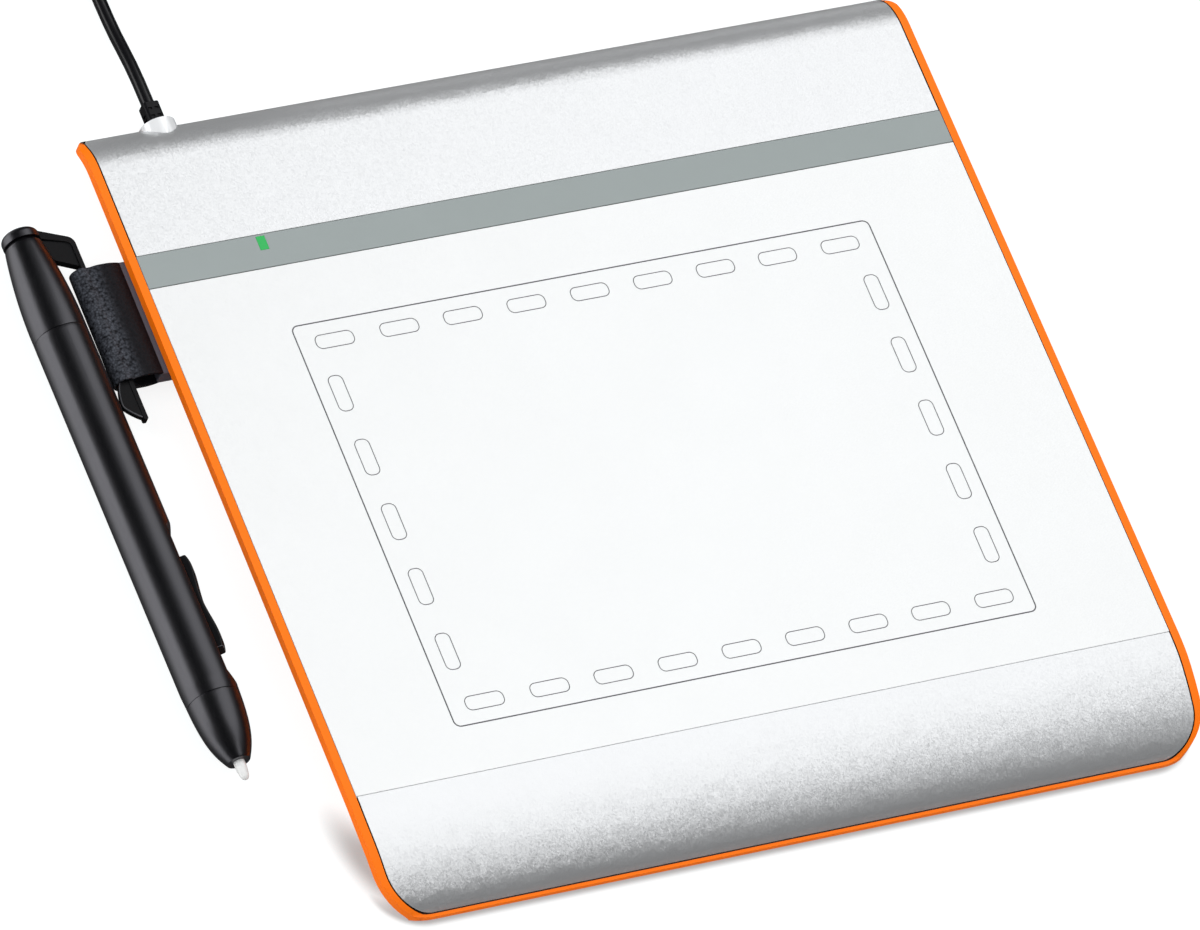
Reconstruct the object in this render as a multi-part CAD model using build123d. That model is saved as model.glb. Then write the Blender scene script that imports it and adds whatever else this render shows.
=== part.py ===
from build123d import *
import math
import os

# Graphics tablet with a pen held beside it and a lead at the back.
# Millimetres. X to the right, Y to the back, Z up from the table.
# Sizes are given from the middle of the printed working area and the table top.

# Case outline
TOP_Z = 11.0
UNDERSIDE_Z = 1.0
HALF_WIDTH = 99.5
FRONT_Y = -89.3
BACK_Y = 108.0
FLOOR_HALF_WIDTH = 92.5
FRONT_CORNER = 11.5
BACK_CORNER = 5.0
BAND_HEIGHT = 2.4
TAPER_START_Y = -68.0
TAPER_ANGLE = 3.5
TAPER_BEND = 3.0

# Rolled front and back edges: where the flat top ends, and the two half axes of each roll
FRONT_ROLL_Y = -61.8
FRONT_ROLL = (27.0, 9.84)
BACK_ROLL_Y = 97.3
BACK_ROLL = (11.5, 9.6)

# Top cover
COVER_THICK = 1.6
COVER_HALF_WIDTH = 97.35
COVER_FRONT_Y = -88.3
SEAM = 0.3

# Drawing sheet and the fixed strip behind it
SHEET_HALF_WIDTH = 97.5
SHEET_FRONT_Y = -62.0
SHEET_BACK_Y = 66.0
STRIP_FRONT_Y = 66.2
STRIP_BACK_Y = 74.4
RECESS_DEPTH = 0.6
SHEET_THICK = 0.5
LED_PLACE = (-68.4, 72.3)
LED_WINDOW = (2.0, 3.4)

# Inside of the tray
FLOOR_THICK = 1.6
POCKET_HALF_WIDTH = 90.0
POCKET_FRONT_Y = -78.0
POCKET_BACK_Y = 99.0
SCREW_PLACES = [(-86, -72), (86, -72), (0, -72), (-86, 95), (86, 95), (0, 92)]
FOOT_PLACES = [(-70, -72), (70, -72), (-70, 90), (70, 90)]
FOOT_RADIUS = 5.0
FOOT_RECESS = 0.6
POST_SEAM_Z = 4.6

# Sensor stack under the working area
SENSOR_HALF_WIDTH = 80.0
SENSOR_FRONT_Y = -58.0
SENSOR_BACK_Y = 60.0
SHIELD_Z = 7.9
SHIELD_THICK = 0.4
BOARD_THICK = 1.0

# Controller board
CONTROL_X = (-83.0, -30.0)
CONTROL_Y = (66.0, 92.0)
CONTROL_Z = 3.2
CONTROL_SCREWS = [(-79.5, 69.5), (-33.5, 69.5), (-33.5, 88.5)]

# Lead and its outlet
LEAD_X = -78.2
LEAD_Z = 4.9
LEAD_DIAMETER = 3.0
OUTLET_RADIUS = 4.1
OUTLET_BACK_Y = 108.5
RELIEF_SIDE = 3.9
RELIEF_END_Y = 113.9
RELIEF_START_Y = 102.0

# Pen, lying on the table and turned a little about Z: its back end lies further left.
# Lengths along it are given from where its axis crosses Y = 0.
PEN_X = -118.1
PEN_YAW = 0.73
PEN_RADIUS = 6.15
PEN_Z = PEN_RADIUS
PEN_LEFT = -125.0
CROWN_TOP_Y = 87.6
CROWN_SEAM_Y = 85.0
CAP_SEAM_Y = 60.9
NOSE_SEAM_Y = -31.2
NOSE_END_Y = -46.4
NOSE_R = 5.95
NOSE_END_R = 2.6
SPIGOT_R = 4.6
NIB_TIP_Y = -50.8
NIB_R = 1.25
CROWN_R = 4.25
NOTCH_R = 3.5
SLEEVE_SEAM_R = 6.13
CAP_BORE_END_Y = 70.0
BATTERY_BORE = 5.35
FRONT_BORE = 4.3
BATTERY_Y = (12.0, 56.5)

# Rocker switch on the pen: its middle, size, and how far round from level it sits
ROCKER_ANGLE = 25.0
ROCKER_Y = -9.6
ROCKER_LENGTH = 22.8
ROCKER_WIDTH = 4.4
ROCKER_PIVOT_R = 4.3
SCOOP_FLAT_R = 5.25
SCOOP_Y = (-31.2, 11.9)
SCOOP_RAMPS = (4.2, 2.4)
CLEARANCE = 0.3
RUNNING = 0.05

# Clip on the pen
CLIP_FACE_R = 11.3
CLIP_THICK = 1.0
CLIP_END_Y = 37.3
CLIP_WIDE = 2.6
CLIP_NARROW = 1.8

# Fabric loop that holds the clip, and the bar that holds the loop
LOOP_Y = (47.2, 75.7)
LOOP_WALL = 0.7
LOOP_LEFT = -111.5
LOOP_Z = (2.9, 8.6)
LOOP_BEND_X = -103.6
BAR_FACE_X = -100.9
BAR_Z = (3.9, 7.6)
BAR_INNER_X = (-95.35, -98.75)
TONGUE_Z = (4.9, 6.5)
TONGUE_Y = (51.0, 72.0)
TONGUE_END_X = -84.5
CLAMP_SCREWS = [(-87.2, 55.0), (-87.2, 68.0)]

# Coiled lead
CORD_AXIS_Z = 1.55
TIE_THICK = 0.6
COIL_MEAN_RADIUS = 17.5
COIL_PITCH = 4.1
COIL_RISE = 3.8
HALF_TURNS = 6
COIL_CENTRE_Y = 167.0

# Plug
PLUG_SIZE = (22.0, 15.0, 7.6)
PLUG_SHELL = (18.75, 12.0, 4.5)
PLUG_SHEET = 0.3
PLUG_BOOT = 8.0

# The record's origin: middle of the footprint, without the free lead
SHIFT = Pos(
    -(PEN_LEFT + HALF_WIDTH) / 2,
    -(FRONT_Y + RELIEF_END_Y) / 2,
    0,
)
PEN = Pos(PEN_X, 0, PEN_Z) * Rot(0, 0, PEN_YAW)

os.makedirs("parts", exist_ok=True)


def save(name, *pieces):
    """Write one sub-part, of one solid or of several separate ones."""
    solids = [SHIFT * solid for piece in pieces for solid in piece.solids()]
    body = solids[0] if len(solids) == 1 else Compound(children=solids)
    export_step(body, f"parts/{name}.step")


def block(x, y, z):
    """A box between pairs of faces."""
    middle = Pos((x[0] + x[1]) / 2, (y[0] + y[1]) / 2, (z[0] + z[1]) / 2)
    return middle * Box(x[1] - x[0], y[1] - y[0], z[1] - z[0])


def pillar(place, radius, z):
    return Pos(place[0], place[1], (z[0] + z[1]) / 2) * Cylinder(radius, z[1] - z[0])


def roll_height(y):
    """Height of the case top over the table."""
    if y < FRONT_ROLL_Y:
        centre, (a, b) = FRONT_ROLL_Y, FRONT_ROLL
    elif y > BACK_ROLL_Y:
        centre, (a, b) = BACK_ROLL_Y, BACK_ROLL
    else:
        return TOP_Z
    share = (y - centre) / a
    return TOP_Z - b + b * math.sqrt(1 - share * share)


def roll_reach(z, front, inset):
    """Where a surface inset below the case top comes down to height z."""
    centre, (a, b) = (FRONT_ROLL_Y, FRONT_ROLL) if front else (BACK_ROLL_Y, BACK_ROLL)
    share = (z - TOP_Z + b) / (b - inset)
    reach = (a - inset) * math.sqrt(1 - share * share)
    return centre - reach if front else centre + reach


def roll_arc(y_end, a, b, top):
    """Quarter-ellipse edge from the flat top down to y_end, in the Y-Z plane."""
    front = y_end < 0
    centre = FRONT_ROLL_Y if front else BACK_ROLL_Y
    share = abs(y_end - centre) / a
    turn = math.degrees(math.asin(share))
    start = 90 if front else 90 - turn
    return EllipticalCenterArc((centre, top - b), a, b, start_angle=start, arc_size=turn)


def face_of(edges):
    return make_face(Wire(edges))


FRONT_LIP_Z = roll_height(COVER_FRONT_Y)
BACK_LIP_Z = roll_height(BACK_Y)
LIP_FALL = 0.15
FRONT_WALL_Z = 1.7
BACK_WALL_Z = 3.3


def top_edges():
    """The case's top line from the front lip to the back lip."""
    front = (FRONT_Y, FRONT_LIP_Z - LIP_FALL)
    return [
        Line(front, (COVER_FRONT_Y, FRONT_LIP_Z)),
        roll_arc(COVER_FRONT_Y, *FRONT_ROLL, TOP_Z),
        Line((FRONT_ROLL_Y, TOP_Z), (BACK_ROLL_Y, TOP_Z)),
        roll_arc(BACK_Y, *BACK_ROLL, TOP_Z),
        Line((BACK_Y, BACK_LIP_Z), (BACK_Y, BACK_WALL_Z)),
        Line(front, (FRONT_Y, FRONT_WALL_Z)),
    ]


def middle_section():
    """Full section of the tray, down to its flat underside."""
    front_foot = (FRONT_Y + 1.5, UNDERSIDE_Z)
    back_foot = (BACK_Y - 3.3, UNDERSIDE_Z)
    return face_of(top_edges() + [
        Line((BACK_Y, BACK_WALL_Z), back_foot),
        Line(back_foot, front_foot),
        Line(front_foot, (FRONT_Y, FRONT_WALL_Z)),
    ])


def side_section():
    """Section at the tray's outer face: a band that follows the top line."""
    band_z = TOP_Z - BAND_HEIGHT
    front_a = FRONT_ROLL[0] + 1.3
    back_a = BACK_ROLL[0] + 0.7
    front_b = (band_z - FRONT_WALL_Z) / (1 - math.sqrt(1 - ((FRONT_ROLL_Y - FRONT_Y) / front_a) ** 2))
    back_b = (band_z - BACK_WALL_Z) / (1 - math.sqrt(1 - ((BACK_Y - BACK_ROLL_Y) / back_a) ** 2))
    return face_of(top_edges() + [
        roll_arc(BACK_Y, back_a, back_b, band_z),
        Line((BACK_ROLL_Y, band_z), (FRONT_ROLL_Y, band_z)),
        roll_arc(FRONT_Y, front_a, front_b, band_z),
    ])


def plan_prism(half_width, front, back, front_radius, back_radius, height=20):
    """Upright prism of the case's outline seen from above, narrowing beside the front roll."""
    lean = math.radians(TAPER_ANGLE)
    front_half = half_width - (TAPER_START_Y - front) * math.tan(lean)
    bend_start = (half_width, TAPER_START_Y + TAPER_BEND)
    bend_end = (half_width - TAPER_BEND * math.sin(lean), TAPER_START_Y - TAPER_BEND * math.cos(lean))
    side = [
        Line((half_width, back), bend_start),
        TangentArc(bend_start, bend_end, tangent=(0, -1)),
        Line(bend_end, (front_half, front)),
    ]
    ends = [Line((-half_width, back), (half_width, back)), Line((-front_half, front), (front_half, front))]
    outline = face_of(side + [edge.mirror(Plane.YZ) for edge in side] + ends)
    body = extrude(outline, height, dir=(0, 0, 1))
    upright = body.edges().filter_by(Axis.Z)
    body = fillet(upright.sort_by(Axis.Y)[:2], front_radius)
    upright = body.edges().filter_by(Axis.Z).sort_by(Axis.Y)[-2:]
    return fillet(upright, back_radius)


def cover_section(inset, top, end_drop=0.0):
    """Section of the case's top layer, from an inset surface up to the given height."""
    front_z = FRONT_LIP_Z - end_drop
    back_z = BACK_LIP_Z - end_drop
    front_inner = roll_reach(front_z, True, inset)
    back_inner = roll_reach(back_z, False, inset)
    inner_z = TOP_Z - inset
    edges = [
        roll_arc(front_inner, FRONT_ROLL[0] - inset, FRONT_ROLL[1] - inset, inner_z),
        Line((FRONT_ROLL_Y, inner_z), (BACK_ROLL_Y, inner_z)),
        roll_arc(back_inner, BACK_ROLL[0] - inset, BACK_ROLL[1] - inset, inner_z),
    ]
    if top is None:
        return face_of(edges + [
            roll_arc(COVER_FRONT_Y, *FRONT_ROLL, TOP_Z),
            Line((FRONT_ROLL_Y, TOP_Z), (BACK_ROLL_Y, TOP_Z)),
            roll_arc(BACK_Y, *BACK_ROLL, TOP_Z),
            Line((COVER_FRONT_Y, front_z), (front_inner, front_z)),
            Line((BACK_Y, back_z), (back_inner, back_z)),
        ])
    front_y = COVER_FRONT_Y - SEAM
    back_y = BACK_Y + SEAM
    return face_of(edges + [
        Line((front_inner, front_z), (front_y, front_z)),
        Line((front_y, front_z), (front_y, top)),
        Line((front_y, top), (back_y, top)),
        Line((back_y, top), (back_y, back_z)),
        Line((back_y, back_z), (back_inner, back_z)),
    ])


def base_tray():
    core = extrude(Plane.YZ * middle_section(), FLOOR_HALF_WIDTH, both=True)
    right = loft(
        [Plane.YZ.offset(FLOOR_HALF_WIDTH) * middle_section(), Plane.YZ.offset(HALF_WIDTH) * side_section()],
        ruled=True,
    )
    left = right.mirror(Plane.YZ)
    body = core + right + left
    body &= plan_prism(HALF_WIDTH, FRONT_Y, BACK_Y, FRONT_CORNER, BACK_CORNER)

    # Seat for the top cover, all round inside the coloured rim
    seat_gap = 0.05
    seat = extrude(
        Plane.YZ * cover_section(COVER_THICK + seat_gap, TOP_Z + 5, seat_gap),
        COVER_HALF_WIDTH + SEAM,
        both=True,
    )
    seat &= plan_prism(
        COVER_HALF_WIDTH + SEAM, COVER_FRONT_Y - SEAM, BACK_Y + SEAM, FRONT_CORNER - 2, BACK_CORNER - 1
    )
    body -= seat

    # Pocket for the boards
    floor_z = UNDERSIDE_Z + FLOOR_THICK
    pocket = block(
        (-POCKET_HALF_WIDTH, POCKET_HALF_WIDTH), (POCKET_FRONT_Y, POCKET_BACK_Y), (floor_z, TOP_Z)
    )
    pocket = fillet(pocket.edges().filter_by(Axis.Z), 6)
    body -= pocket

    # Posts: case screws, sensor stack, controller board and holder tongue
    for place in SCREW_PLACES:
        body += pillar(place, 3.0, (UNDERSIDE_Z, POST_SEAM_Z))
    for x in (-60, -20, 20, 60):
        for y in (-45, 0, 45):
            body += pillar((x, y), 2.5, (UNDERSIDE_Z, SHIELD_Z))
    for place in CONTROL_SCREWS:
        body += pillar(place, 2.4, (UNDERSIDE_Z, CONTROL_Z))
    for place in CLAMP_SCREWS:
        body += pillar(place, 2.4, (UNDERSIDE_Z, TONGUE_Z[0]))

    # Holes and recesses
    for place in SCREW_PLACES:
        body -= pillar(place, 1.35, (0, POST_SEAM_Z + 1))
        body -= pillar(place, 2.5, (0, UNDERSIDE_Z + 1.3))
    for place in CONTROL_SCREWS + CLAMP_SCREWS:
        body -= pillar(place, 0.95, (UNDERSIDE_Z + 0.6, TOP_Z))
    for place in FOOT_PLACES:
        body -= pillar(place, FOOT_RADIUS + 0.1, (0, UNDERSIDE_Z + FOOT_RECESS))

    # Ways out: the lead's outlet at the back and the holder's tongue at the left
    body -= block(
        (LEAD_X - OUTLET_RADIUS - 0.1, LEAD_X + OUTLET_RADIUS + 0.1),
        (POCKET_BACK_Y - 1, BACK_Y + 1),
        (floor_z, TOP_Z + 1),
    )
    body -= block(
        (-HALF_WIDTH - 1, -POCKET_HALF_WIDTH + 1),
        (TONGUE_Y[0] - RUNNING, TONGUE_Y[1] + RUNNING),
        (TONGUE_Z[0] - RUNNING, TONGUE_Z[1] + RUNNING),
    )
    return body


def top_cover():
    body = extrude(Plane.YZ * cover_section(COVER_THICK, None), COVER_HALF_WIDTH, both=True)
    body &= plan_prism(COVER_HALF_WIDTH, COVER_FRONT_Y, BACK_Y, FRONT_CORNER - 2.3, BACK_CORNER - 1.3)

    # Recess for the drawing sheet and strip, open at both sides
    body -= block(
        (-HALF_WIDTH, HALF_WIDTH),
        (SHEET_FRONT_Y - 0.2, STRIP_BACK_Y + 0.2),
        (TOP_Z - RECESS_DEPTH, TOP_Z + 1),
    )

    # Half-round outlet for the lead, standing out of the back roll
    outlet_y = (RELIEF_START_Y + 1.4, OUTLET_BACK_Y)
    middle_y = (outlet_y[0] + outlet_y[1]) / 2
    length = outlet_y[1] - outlet_y[0]
    outlet = Pos(LEAD_X, middle_y, LEAD_Z) * Rot(90, 0, 0) * Cylinder(OUTLET_RADIUS, length)
    outlet += block((LEAD_X - OUTLET_RADIUS, LEAD_X + OUTLET_RADIUS), outlet_y, (2.7, LEAD_Z))
    outlet &= block((LEAD_X - 5, LEAD_X + 5), outlet_y, (2.7, TOP_Z))
    body += outlet
    opening = RELIEF_SIDE / 2 + 0.03
    body -= block(
        (LEAD_X - opening, LEAD_X + opening),
        (RELIEF_START_Y, OUTLET_BACK_Y),
        (LEAD_Z - opening, LEAD_Z + opening),
    )

    # Bosses that the case screws bite into
    for place in SCREW_PLACES:
        top = roll_height(place[1]) - COVER_THICK / 2
        body += pillar(place, 2.6, (POST_SEAM_Z, top))
        body -= pillar(place, 1.15, (0, 8.2))

    # Window for the light pipe
    body -= block(*led_window(0.05), (0, TOP_Z + 1))
    return body


def led_window(gap=0.0):
    x, y = LED_PLACE
    half_x = LED_WINDOW[0] / 2 + gap
    half_y = LED_WINDOW[1] / 2 + gap
    return (x - half_x, x + half_x), (y - half_y, y + half_y)


def sheet_pieces():
    recess_z = TOP_Z - RECESS_DEPTH
    half = SHEET_HALF_WIDTH
    strip = block((-half, half), (STRIP_FRONT_Y, STRIP_BACK_Y), (recess_z, TOP_Z))
    strip -= block(*led_window(0.05), (0, TOP_Z + 1))
    save("overlay_strip", strip)
    sheet_z = recess_z + RUNNING
    sheet = block((-half, half), (SHEET_FRONT_Y, SHEET_BACK_Y), (sheet_z, sheet_z + SHEET_THICK))
    save("overlay_sheet", sheet)
    pipe = block(*led_window(), (5.4, TOP_Z + 0.05))
    x, y = led_window(0.6)
    pipe += block(x, y, (8.4, TOP_Z - COVER_THICK - 0.05))
    save("led_light_pipe", pipe)


def sensor_pieces():
    width = (-SENSOR_HALF_WIDTH, SENSOR_HALF_WIDTH)
    shield_top = SHIELD_Z + SHIELD_THICK
    shield_back_y = SENSOR_BACK_Y - 6
    save("shield_plate", block(width, (SENSOR_FRONT_Y, shield_back_y), (SHIELD_Z, shield_top)))
    board = block(width, (SENSOR_FRONT_Y, SENSOR_BACK_Y), (shield_top, shield_top + BOARD_THICK))
    save("sensor_board", board)

    # Flat cable down to the controller board
    board_top = CONTROL_Z + BOARD_THICK
    cable_z = board_top + 0.7
    route = FilletPolyline(
        (SENSOR_BACK_Y - 4, shield_top - 0.2),
        (SENSOR_BACK_Y + 2, shield_top - 0.2),
        (SENSOR_BACK_Y + 4, cable_z),
        (CONTROL_Y[0] + 2, cable_z),
        radius=0.8,
    )
    band = trace(route, 0.3)
    save("sensor_flat_cable", extrude(Plane.YZ.offset(-65) * band, 18))
    connector_y = (CONTROL_Y[0] + 2, CONTROL_Y[0] + 5)
    save("flat_cable_connector", block((-66, -46), connector_y, (board_top, board_top + 1.5)))


def controller_pieces():
    board_top = CONTROL_Z + BOARD_THICK
    board = block(CONTROL_X, CONTROL_Y, (CONTROL_Z, board_top))
    for place in CONTROL_SCREWS:
        board -= pillar(place, 1.1, (0, TOP_Z))
    save("controller_board", board)
    save("controller_chip", block((-55, -45), (77, 87), (board_top, board_top + 1.4)))
    x, y = LED_PLACE
    save("status_led", block((x - 0.8, x + 0.8), (y - 1.0, y + 1.0), (board_top, board_top + 0.8)))
    header_y = (CONTROL_Y[1] - 6, CONTROL_Y[1])
    save("lead_header", block((LEAD_X - 4, LEAD_X + 4), header_y, (board_top, board_top + 2.6)))
    length = RELIEF_START_Y - CONTROL_Y[1]
    lead = Pos(LEAD_X, CONTROL_Y[1] + length / 2, LEAD_Z) * Rot(90, 0, 0) * Cylinder(0.9, length)
    save("internal_lead", lead)
    save("board_screws", *[screw(place, board_top, 1.9, 1.0, 0.9, 2.4) for place in CONTROL_SCREWS])


def screw(place, seat_z, head_radius, head_height, shank_radius, shank_length):
    """Pan-head screw pointing down from its seat, with a cross recess."""
    head = pillar(place, head_radius, (seat_z, seat_z + head_height))
    body = head + pillar(place, shank_radius, (seat_z - shank_length, seat_z))
    return body - cross_recess(place, seat_z + head_height, head_radius)


def cross_recess(place, z, head_radius):
    slot = Box(head_radius * 1.1, head_radius * 0.28, 1.0) + Box(head_radius * 0.28, head_radius * 1.1, 1.0)
    return Pos(place[0], place[1], z) * slot


def case_screws():
    """Screws that come up through the underside."""
    screws = []
    for place in SCREW_PLACES:
        head = pillar(place, 2.3, (UNDERSIDE_Z + 0.2, UNDERSIDE_Z + 1.3))
        body = head + pillar(place, 1.1, (UNDERSIDE_Z + 1.3, 8.0))
        screws.append(body - cross_recess(place, UNDERSIDE_Z + 0.2, 2.3))
    return screws


def rubber_feet():
    top = UNDERSIDE_Z + FOOT_RECESS
    feet = []
    for place in FOOT_PLACES:
        foot = pillar(place, FOOT_RADIUS, (0, top))
        feet.append(fillet(foot.edges().sort_by(Axis.Z)[:1], 0.4))
    return feet


def strain_relief():
    """Square sleeve with a collar inside the case and slots in its free end."""
    length = RELIEF_END_Y - RELIEF_START_Y
    body = Pos(LEAD_X, RELIEF_START_Y + length / 2, LEAD_Z) * Box(RELIEF_SIDE, length, RELIEF_SIDE)
    body = fillet(body.edges().filter_by(Axis.Y), 0.8)
    collar_side = RELIEF_SIDE + 0.6
    collar = Pos(LEAD_X, RELIEF_START_Y + 0.65, LEAD_Z) * Box(collar_side, 1.3, collar_side)
    body += collar
    for row, y in enumerate((110.3, 112.2)):
        for side in (-1, 1):
            along_x = Pos(LEAD_X + side * 0.75, y, LEAD_Z + RELIEF_SIDE / 2) * Box(0.9, 0.6, 0.8)
            body -= along_x
            along_z = Pos(LEAD_X + side * RELIEF_SIDE / 2, y - 0.95 * row, LEAD_Z) * Box(0.8, 0.6, 1.6)
            body -= along_z
    return body


def turned(*edges):
    """A piece turned about the pen's axis from its half section, X as radius."""
    return PEN * revolve(face_of(edges), Axis.Y)


def open_outline(*points):
    """Straight edges from each point to the next."""
    return [Line(a, b) for a, b in zip(points, points[1:])]


def outline(*points):
    """Straight edges through the points and back to the first."""
    return open_outline(*points, points[0])


def sleeve_side(gap, seam_y):
    """Notch slope and tapered side of the cap's sleeve, from the crown to the seam."""
    notch_y = CROWN_SEAM_Y - 1.0
    return [
        Line((NOTCH_R + gap, CROWN_SEAM_Y), (CROWN_R + gap, notch_y)),
        ThreePointArc((CROWN_R + gap, notch_y), (5.55 + gap, 74.5), (SLEEVE_SEAM_R + gap, seam_y)),
    ]


def rocker_place(shape):
    return PEN * Rot(0, -ROCKER_ANGLE, 0) * shape


def pen_cap():
    # Sleeve with a tapered outside, a blind bore for the spring and a spigot for the barrel
    seam_y = CAP_SEAM_Y + RUNNING
    spigot_end = CAP_SEAM_Y - 3.7
    spigot_r = BATTERY_BORE - RUNNING
    bore_r = 4.4
    save("cap_sleeve", turned(
        *sleeve_side(0, seam_y),
        *open_outline(
            (SLEEVE_SEAM_R, seam_y),
            (spigot_r, seam_y),
            (spigot_r, spigot_end),
            (bore_r, spigot_end),
            (bore_r, CAP_BORE_END_Y),
            (0, CAP_BORE_END_Y),
            (0, CROWN_SEAM_Y),
            (NOTCH_R, CROWN_SEAM_Y),
        ),
    ))

    # Crown disc with rounded top edge
    crown = turned(
        ThreePointArc((CROWN_R, 86.2), (3.85, 87.2), (2.8, CROWN_TOP_Y)),
        *open_outline(
            (2.8, CROWN_TOP_Y), (0, CROWN_TOP_Y), (0, CROWN_SEAM_Y), (CROWN_R, CROWN_SEAM_Y), (CROWN_R, 86.2)
        ),
    )

    # Clip: arm over the shoulder, web against the sleeve, tapered blade with a rounded nub
    face_x = CLIP_FACE_R
    inner_x = CLIP_FACE_R - CLIP_THICK
    blade = make_face(FilletPolyline(
        (2.7, CROWN_TOP_Y), (face_x, 83.7), (face_x, CLIP_END_Y),
        (inner_x, CLIP_END_Y), (inner_x, 82.8), (2.7, 85.4),
        radius=[0.3, 2.2, 0.3, 0.3, 1.6, 0.3], close=True,
    ))
    blade = extrude(blade, CLIP_WIDE / 2, both=True)
    side_cut = make_face(Polyline(
        (CLIP_END_Y - 1, CLIP_NARROW / 2), (82, CLIP_WIDE / 2), (82, 5), (CLIP_END_Y - 1, 5),
        close=True,
    ))
    side_cut = extrude(Plane.YZ.offset(inner_x - 3) * side_cut, 6)
    blade = blade - side_cut - side_cut.mirror(Plane.XY)
    web = extrude(
        make_face(Polyline(
            (3.8, CROWN_SEAM_Y - 0.3), (inner_x + 0.1, 82.8), (inner_x + 0.1, 76.8),
            (5.4, 79.3), (4.0, 81.9), close=True,
        )),
        CLIP_NARROW / 2,
        both=True,
    )
    nub = make_face(
        Wire([ThreePointArc((inner_x + 0.1, 46.2), (inner_x - 1.3, 42.6), (inner_x + 0.1, 38.9)),
              Line((inner_x + 0.1, 38.9), (inner_x + 0.1, 46.2))])
    )
    nub = extrude(nub, 0.7, both=True)
    clip = blade + web + nub
    sleeve_shape = turned(
        *sleeve_side(RUNNING, CAP_SEAM_Y),
        *open_outline(
            (SLEEVE_SEAM_R + RUNNING, CAP_SEAM_Y),
            (0, CAP_SEAM_Y),
            (0, CROWN_SEAM_Y),
            (NOTCH_R + RUNNING, CROWN_SEAM_Y),
        ),
    )
    save("clip_crown", crown + (PEN * clip - sleeve_shape))

    # Spring that presses on the cell, as a plain conical sleeve
    spring_end = BATTERY_Y[1] + CLEARANCE
    save("battery_spring", turned(*outline(
        (3.6, CAP_BORE_END_Y), (3.2, CAP_BORE_END_Y), (2.2, spring_end), (2.6, spring_end)
    )))


def pen_barrel():
    step_y = 8.0
    spigot_y = NOSE_SEAM_Y + 3.6
    body = turned(*outline(
        (BATTERY_BORE, CAP_SEAM_Y),
        (SLEEVE_SEAM_R, CAP_SEAM_Y),
        (PEN_RADIUS, CAP_SEAM_Y - 1.5),
        (PEN_RADIUS, spigot_y),
        (NOSE_R, NOSE_SEAM_Y),
        (SPIGOT_R + RUNNING, NOSE_SEAM_Y),
        (SPIGOT_R + RUNNING, spigot_y),
        (FRONT_BORE, spigot_y),
        (FRONT_BORE, step_y),
        (BATTERY_BORE, step_y),
    ))
    # Thumb scoop: a flat with ramped ends
    scoop = make_face(Polyline(
        (PEN_RADIUS + 0.4, SCOOP_Y[0]), (SCOOP_FLAT_R, SCOOP_Y[0] + SCOOP_RAMPS[0]),
        (SCOOP_FLAT_R, SCOOP_Y[1] - SCOOP_RAMPS[1]), (PEN_RADIUS + 0.4, SCOOP_Y[1]), close=True,
    ))
    body -= rocker_place(extrude(scoop, 8, both=True))
    # Opening for the rocker and the seats of its pivot pins
    half_long = ROCKER_LENGTH / 2 + CLEARANCE
    half_wide = ROCKER_WIDTH / 2 + CLEARANCE
    body -= rocker_place(block(
        (2.0, 8.0), (ROCKER_Y - half_long, ROCKER_Y + half_long), (-half_wide, half_wide)
    ))
    seat = Pos(ROCKER_PIVOT_R, ROCKER_Y, 0) * Cylinder(0.5 + RUNNING, 6.4)
    body -= rocker_place(seat)
    return body


def side_switch():
    """Rocker with two humps, a waist over the pivot, two pins and two feet."""
    half = ROCKER_LENGTH / 2
    hump, waist, heel, base = 6.85, 6.2, 6.45, 4.35
    upper = Spline(
        (heel, ROCKER_Y - half), (hump, ROCKER_Y - half * 0.62), (waist, ROCKER_Y),
        (hump, ROCKER_Y + half * 0.62), (heel, ROCKER_Y + half),
        tangents=[(0.35, 1), (-0.35, 1)],
    )
    face = face_of([
        upper,
        Line((heel, ROCKER_Y + half), (base, ROCKER_Y + half)),
        Line((base, ROCKER_Y + half), (base, ROCKER_Y - half)),
        Line((base, ROCKER_Y - half), (heel, ROCKER_Y - half)),
    ])
    body = extrude(face, ROCKER_WIDTH / 2, both=True)
    long_edges = body.edges().filter_by(GeomType.BSPLINE)
    body = fillet(long_edges, 0.5)
    hub = Pos(ROCKER_PIVOT_R, ROCKER_Y, 0) * Cylinder(0.8, ROCKER_WIDTH)
    pins = Pos(ROCKER_PIVOT_R, ROCKER_Y, 0) * Cylinder(0.5, 6.2)
    body = body + hub + pins
    for y in switch_stations():
        body += block((4.1, base + 0.1), (y - 0.8, y + 0.8), (-0.8, 0.8))
    return rocker_place(body)


def switch_stations():
    return (ROCKER_Y - 8.0, ROCKER_Y + 8.0)


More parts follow.
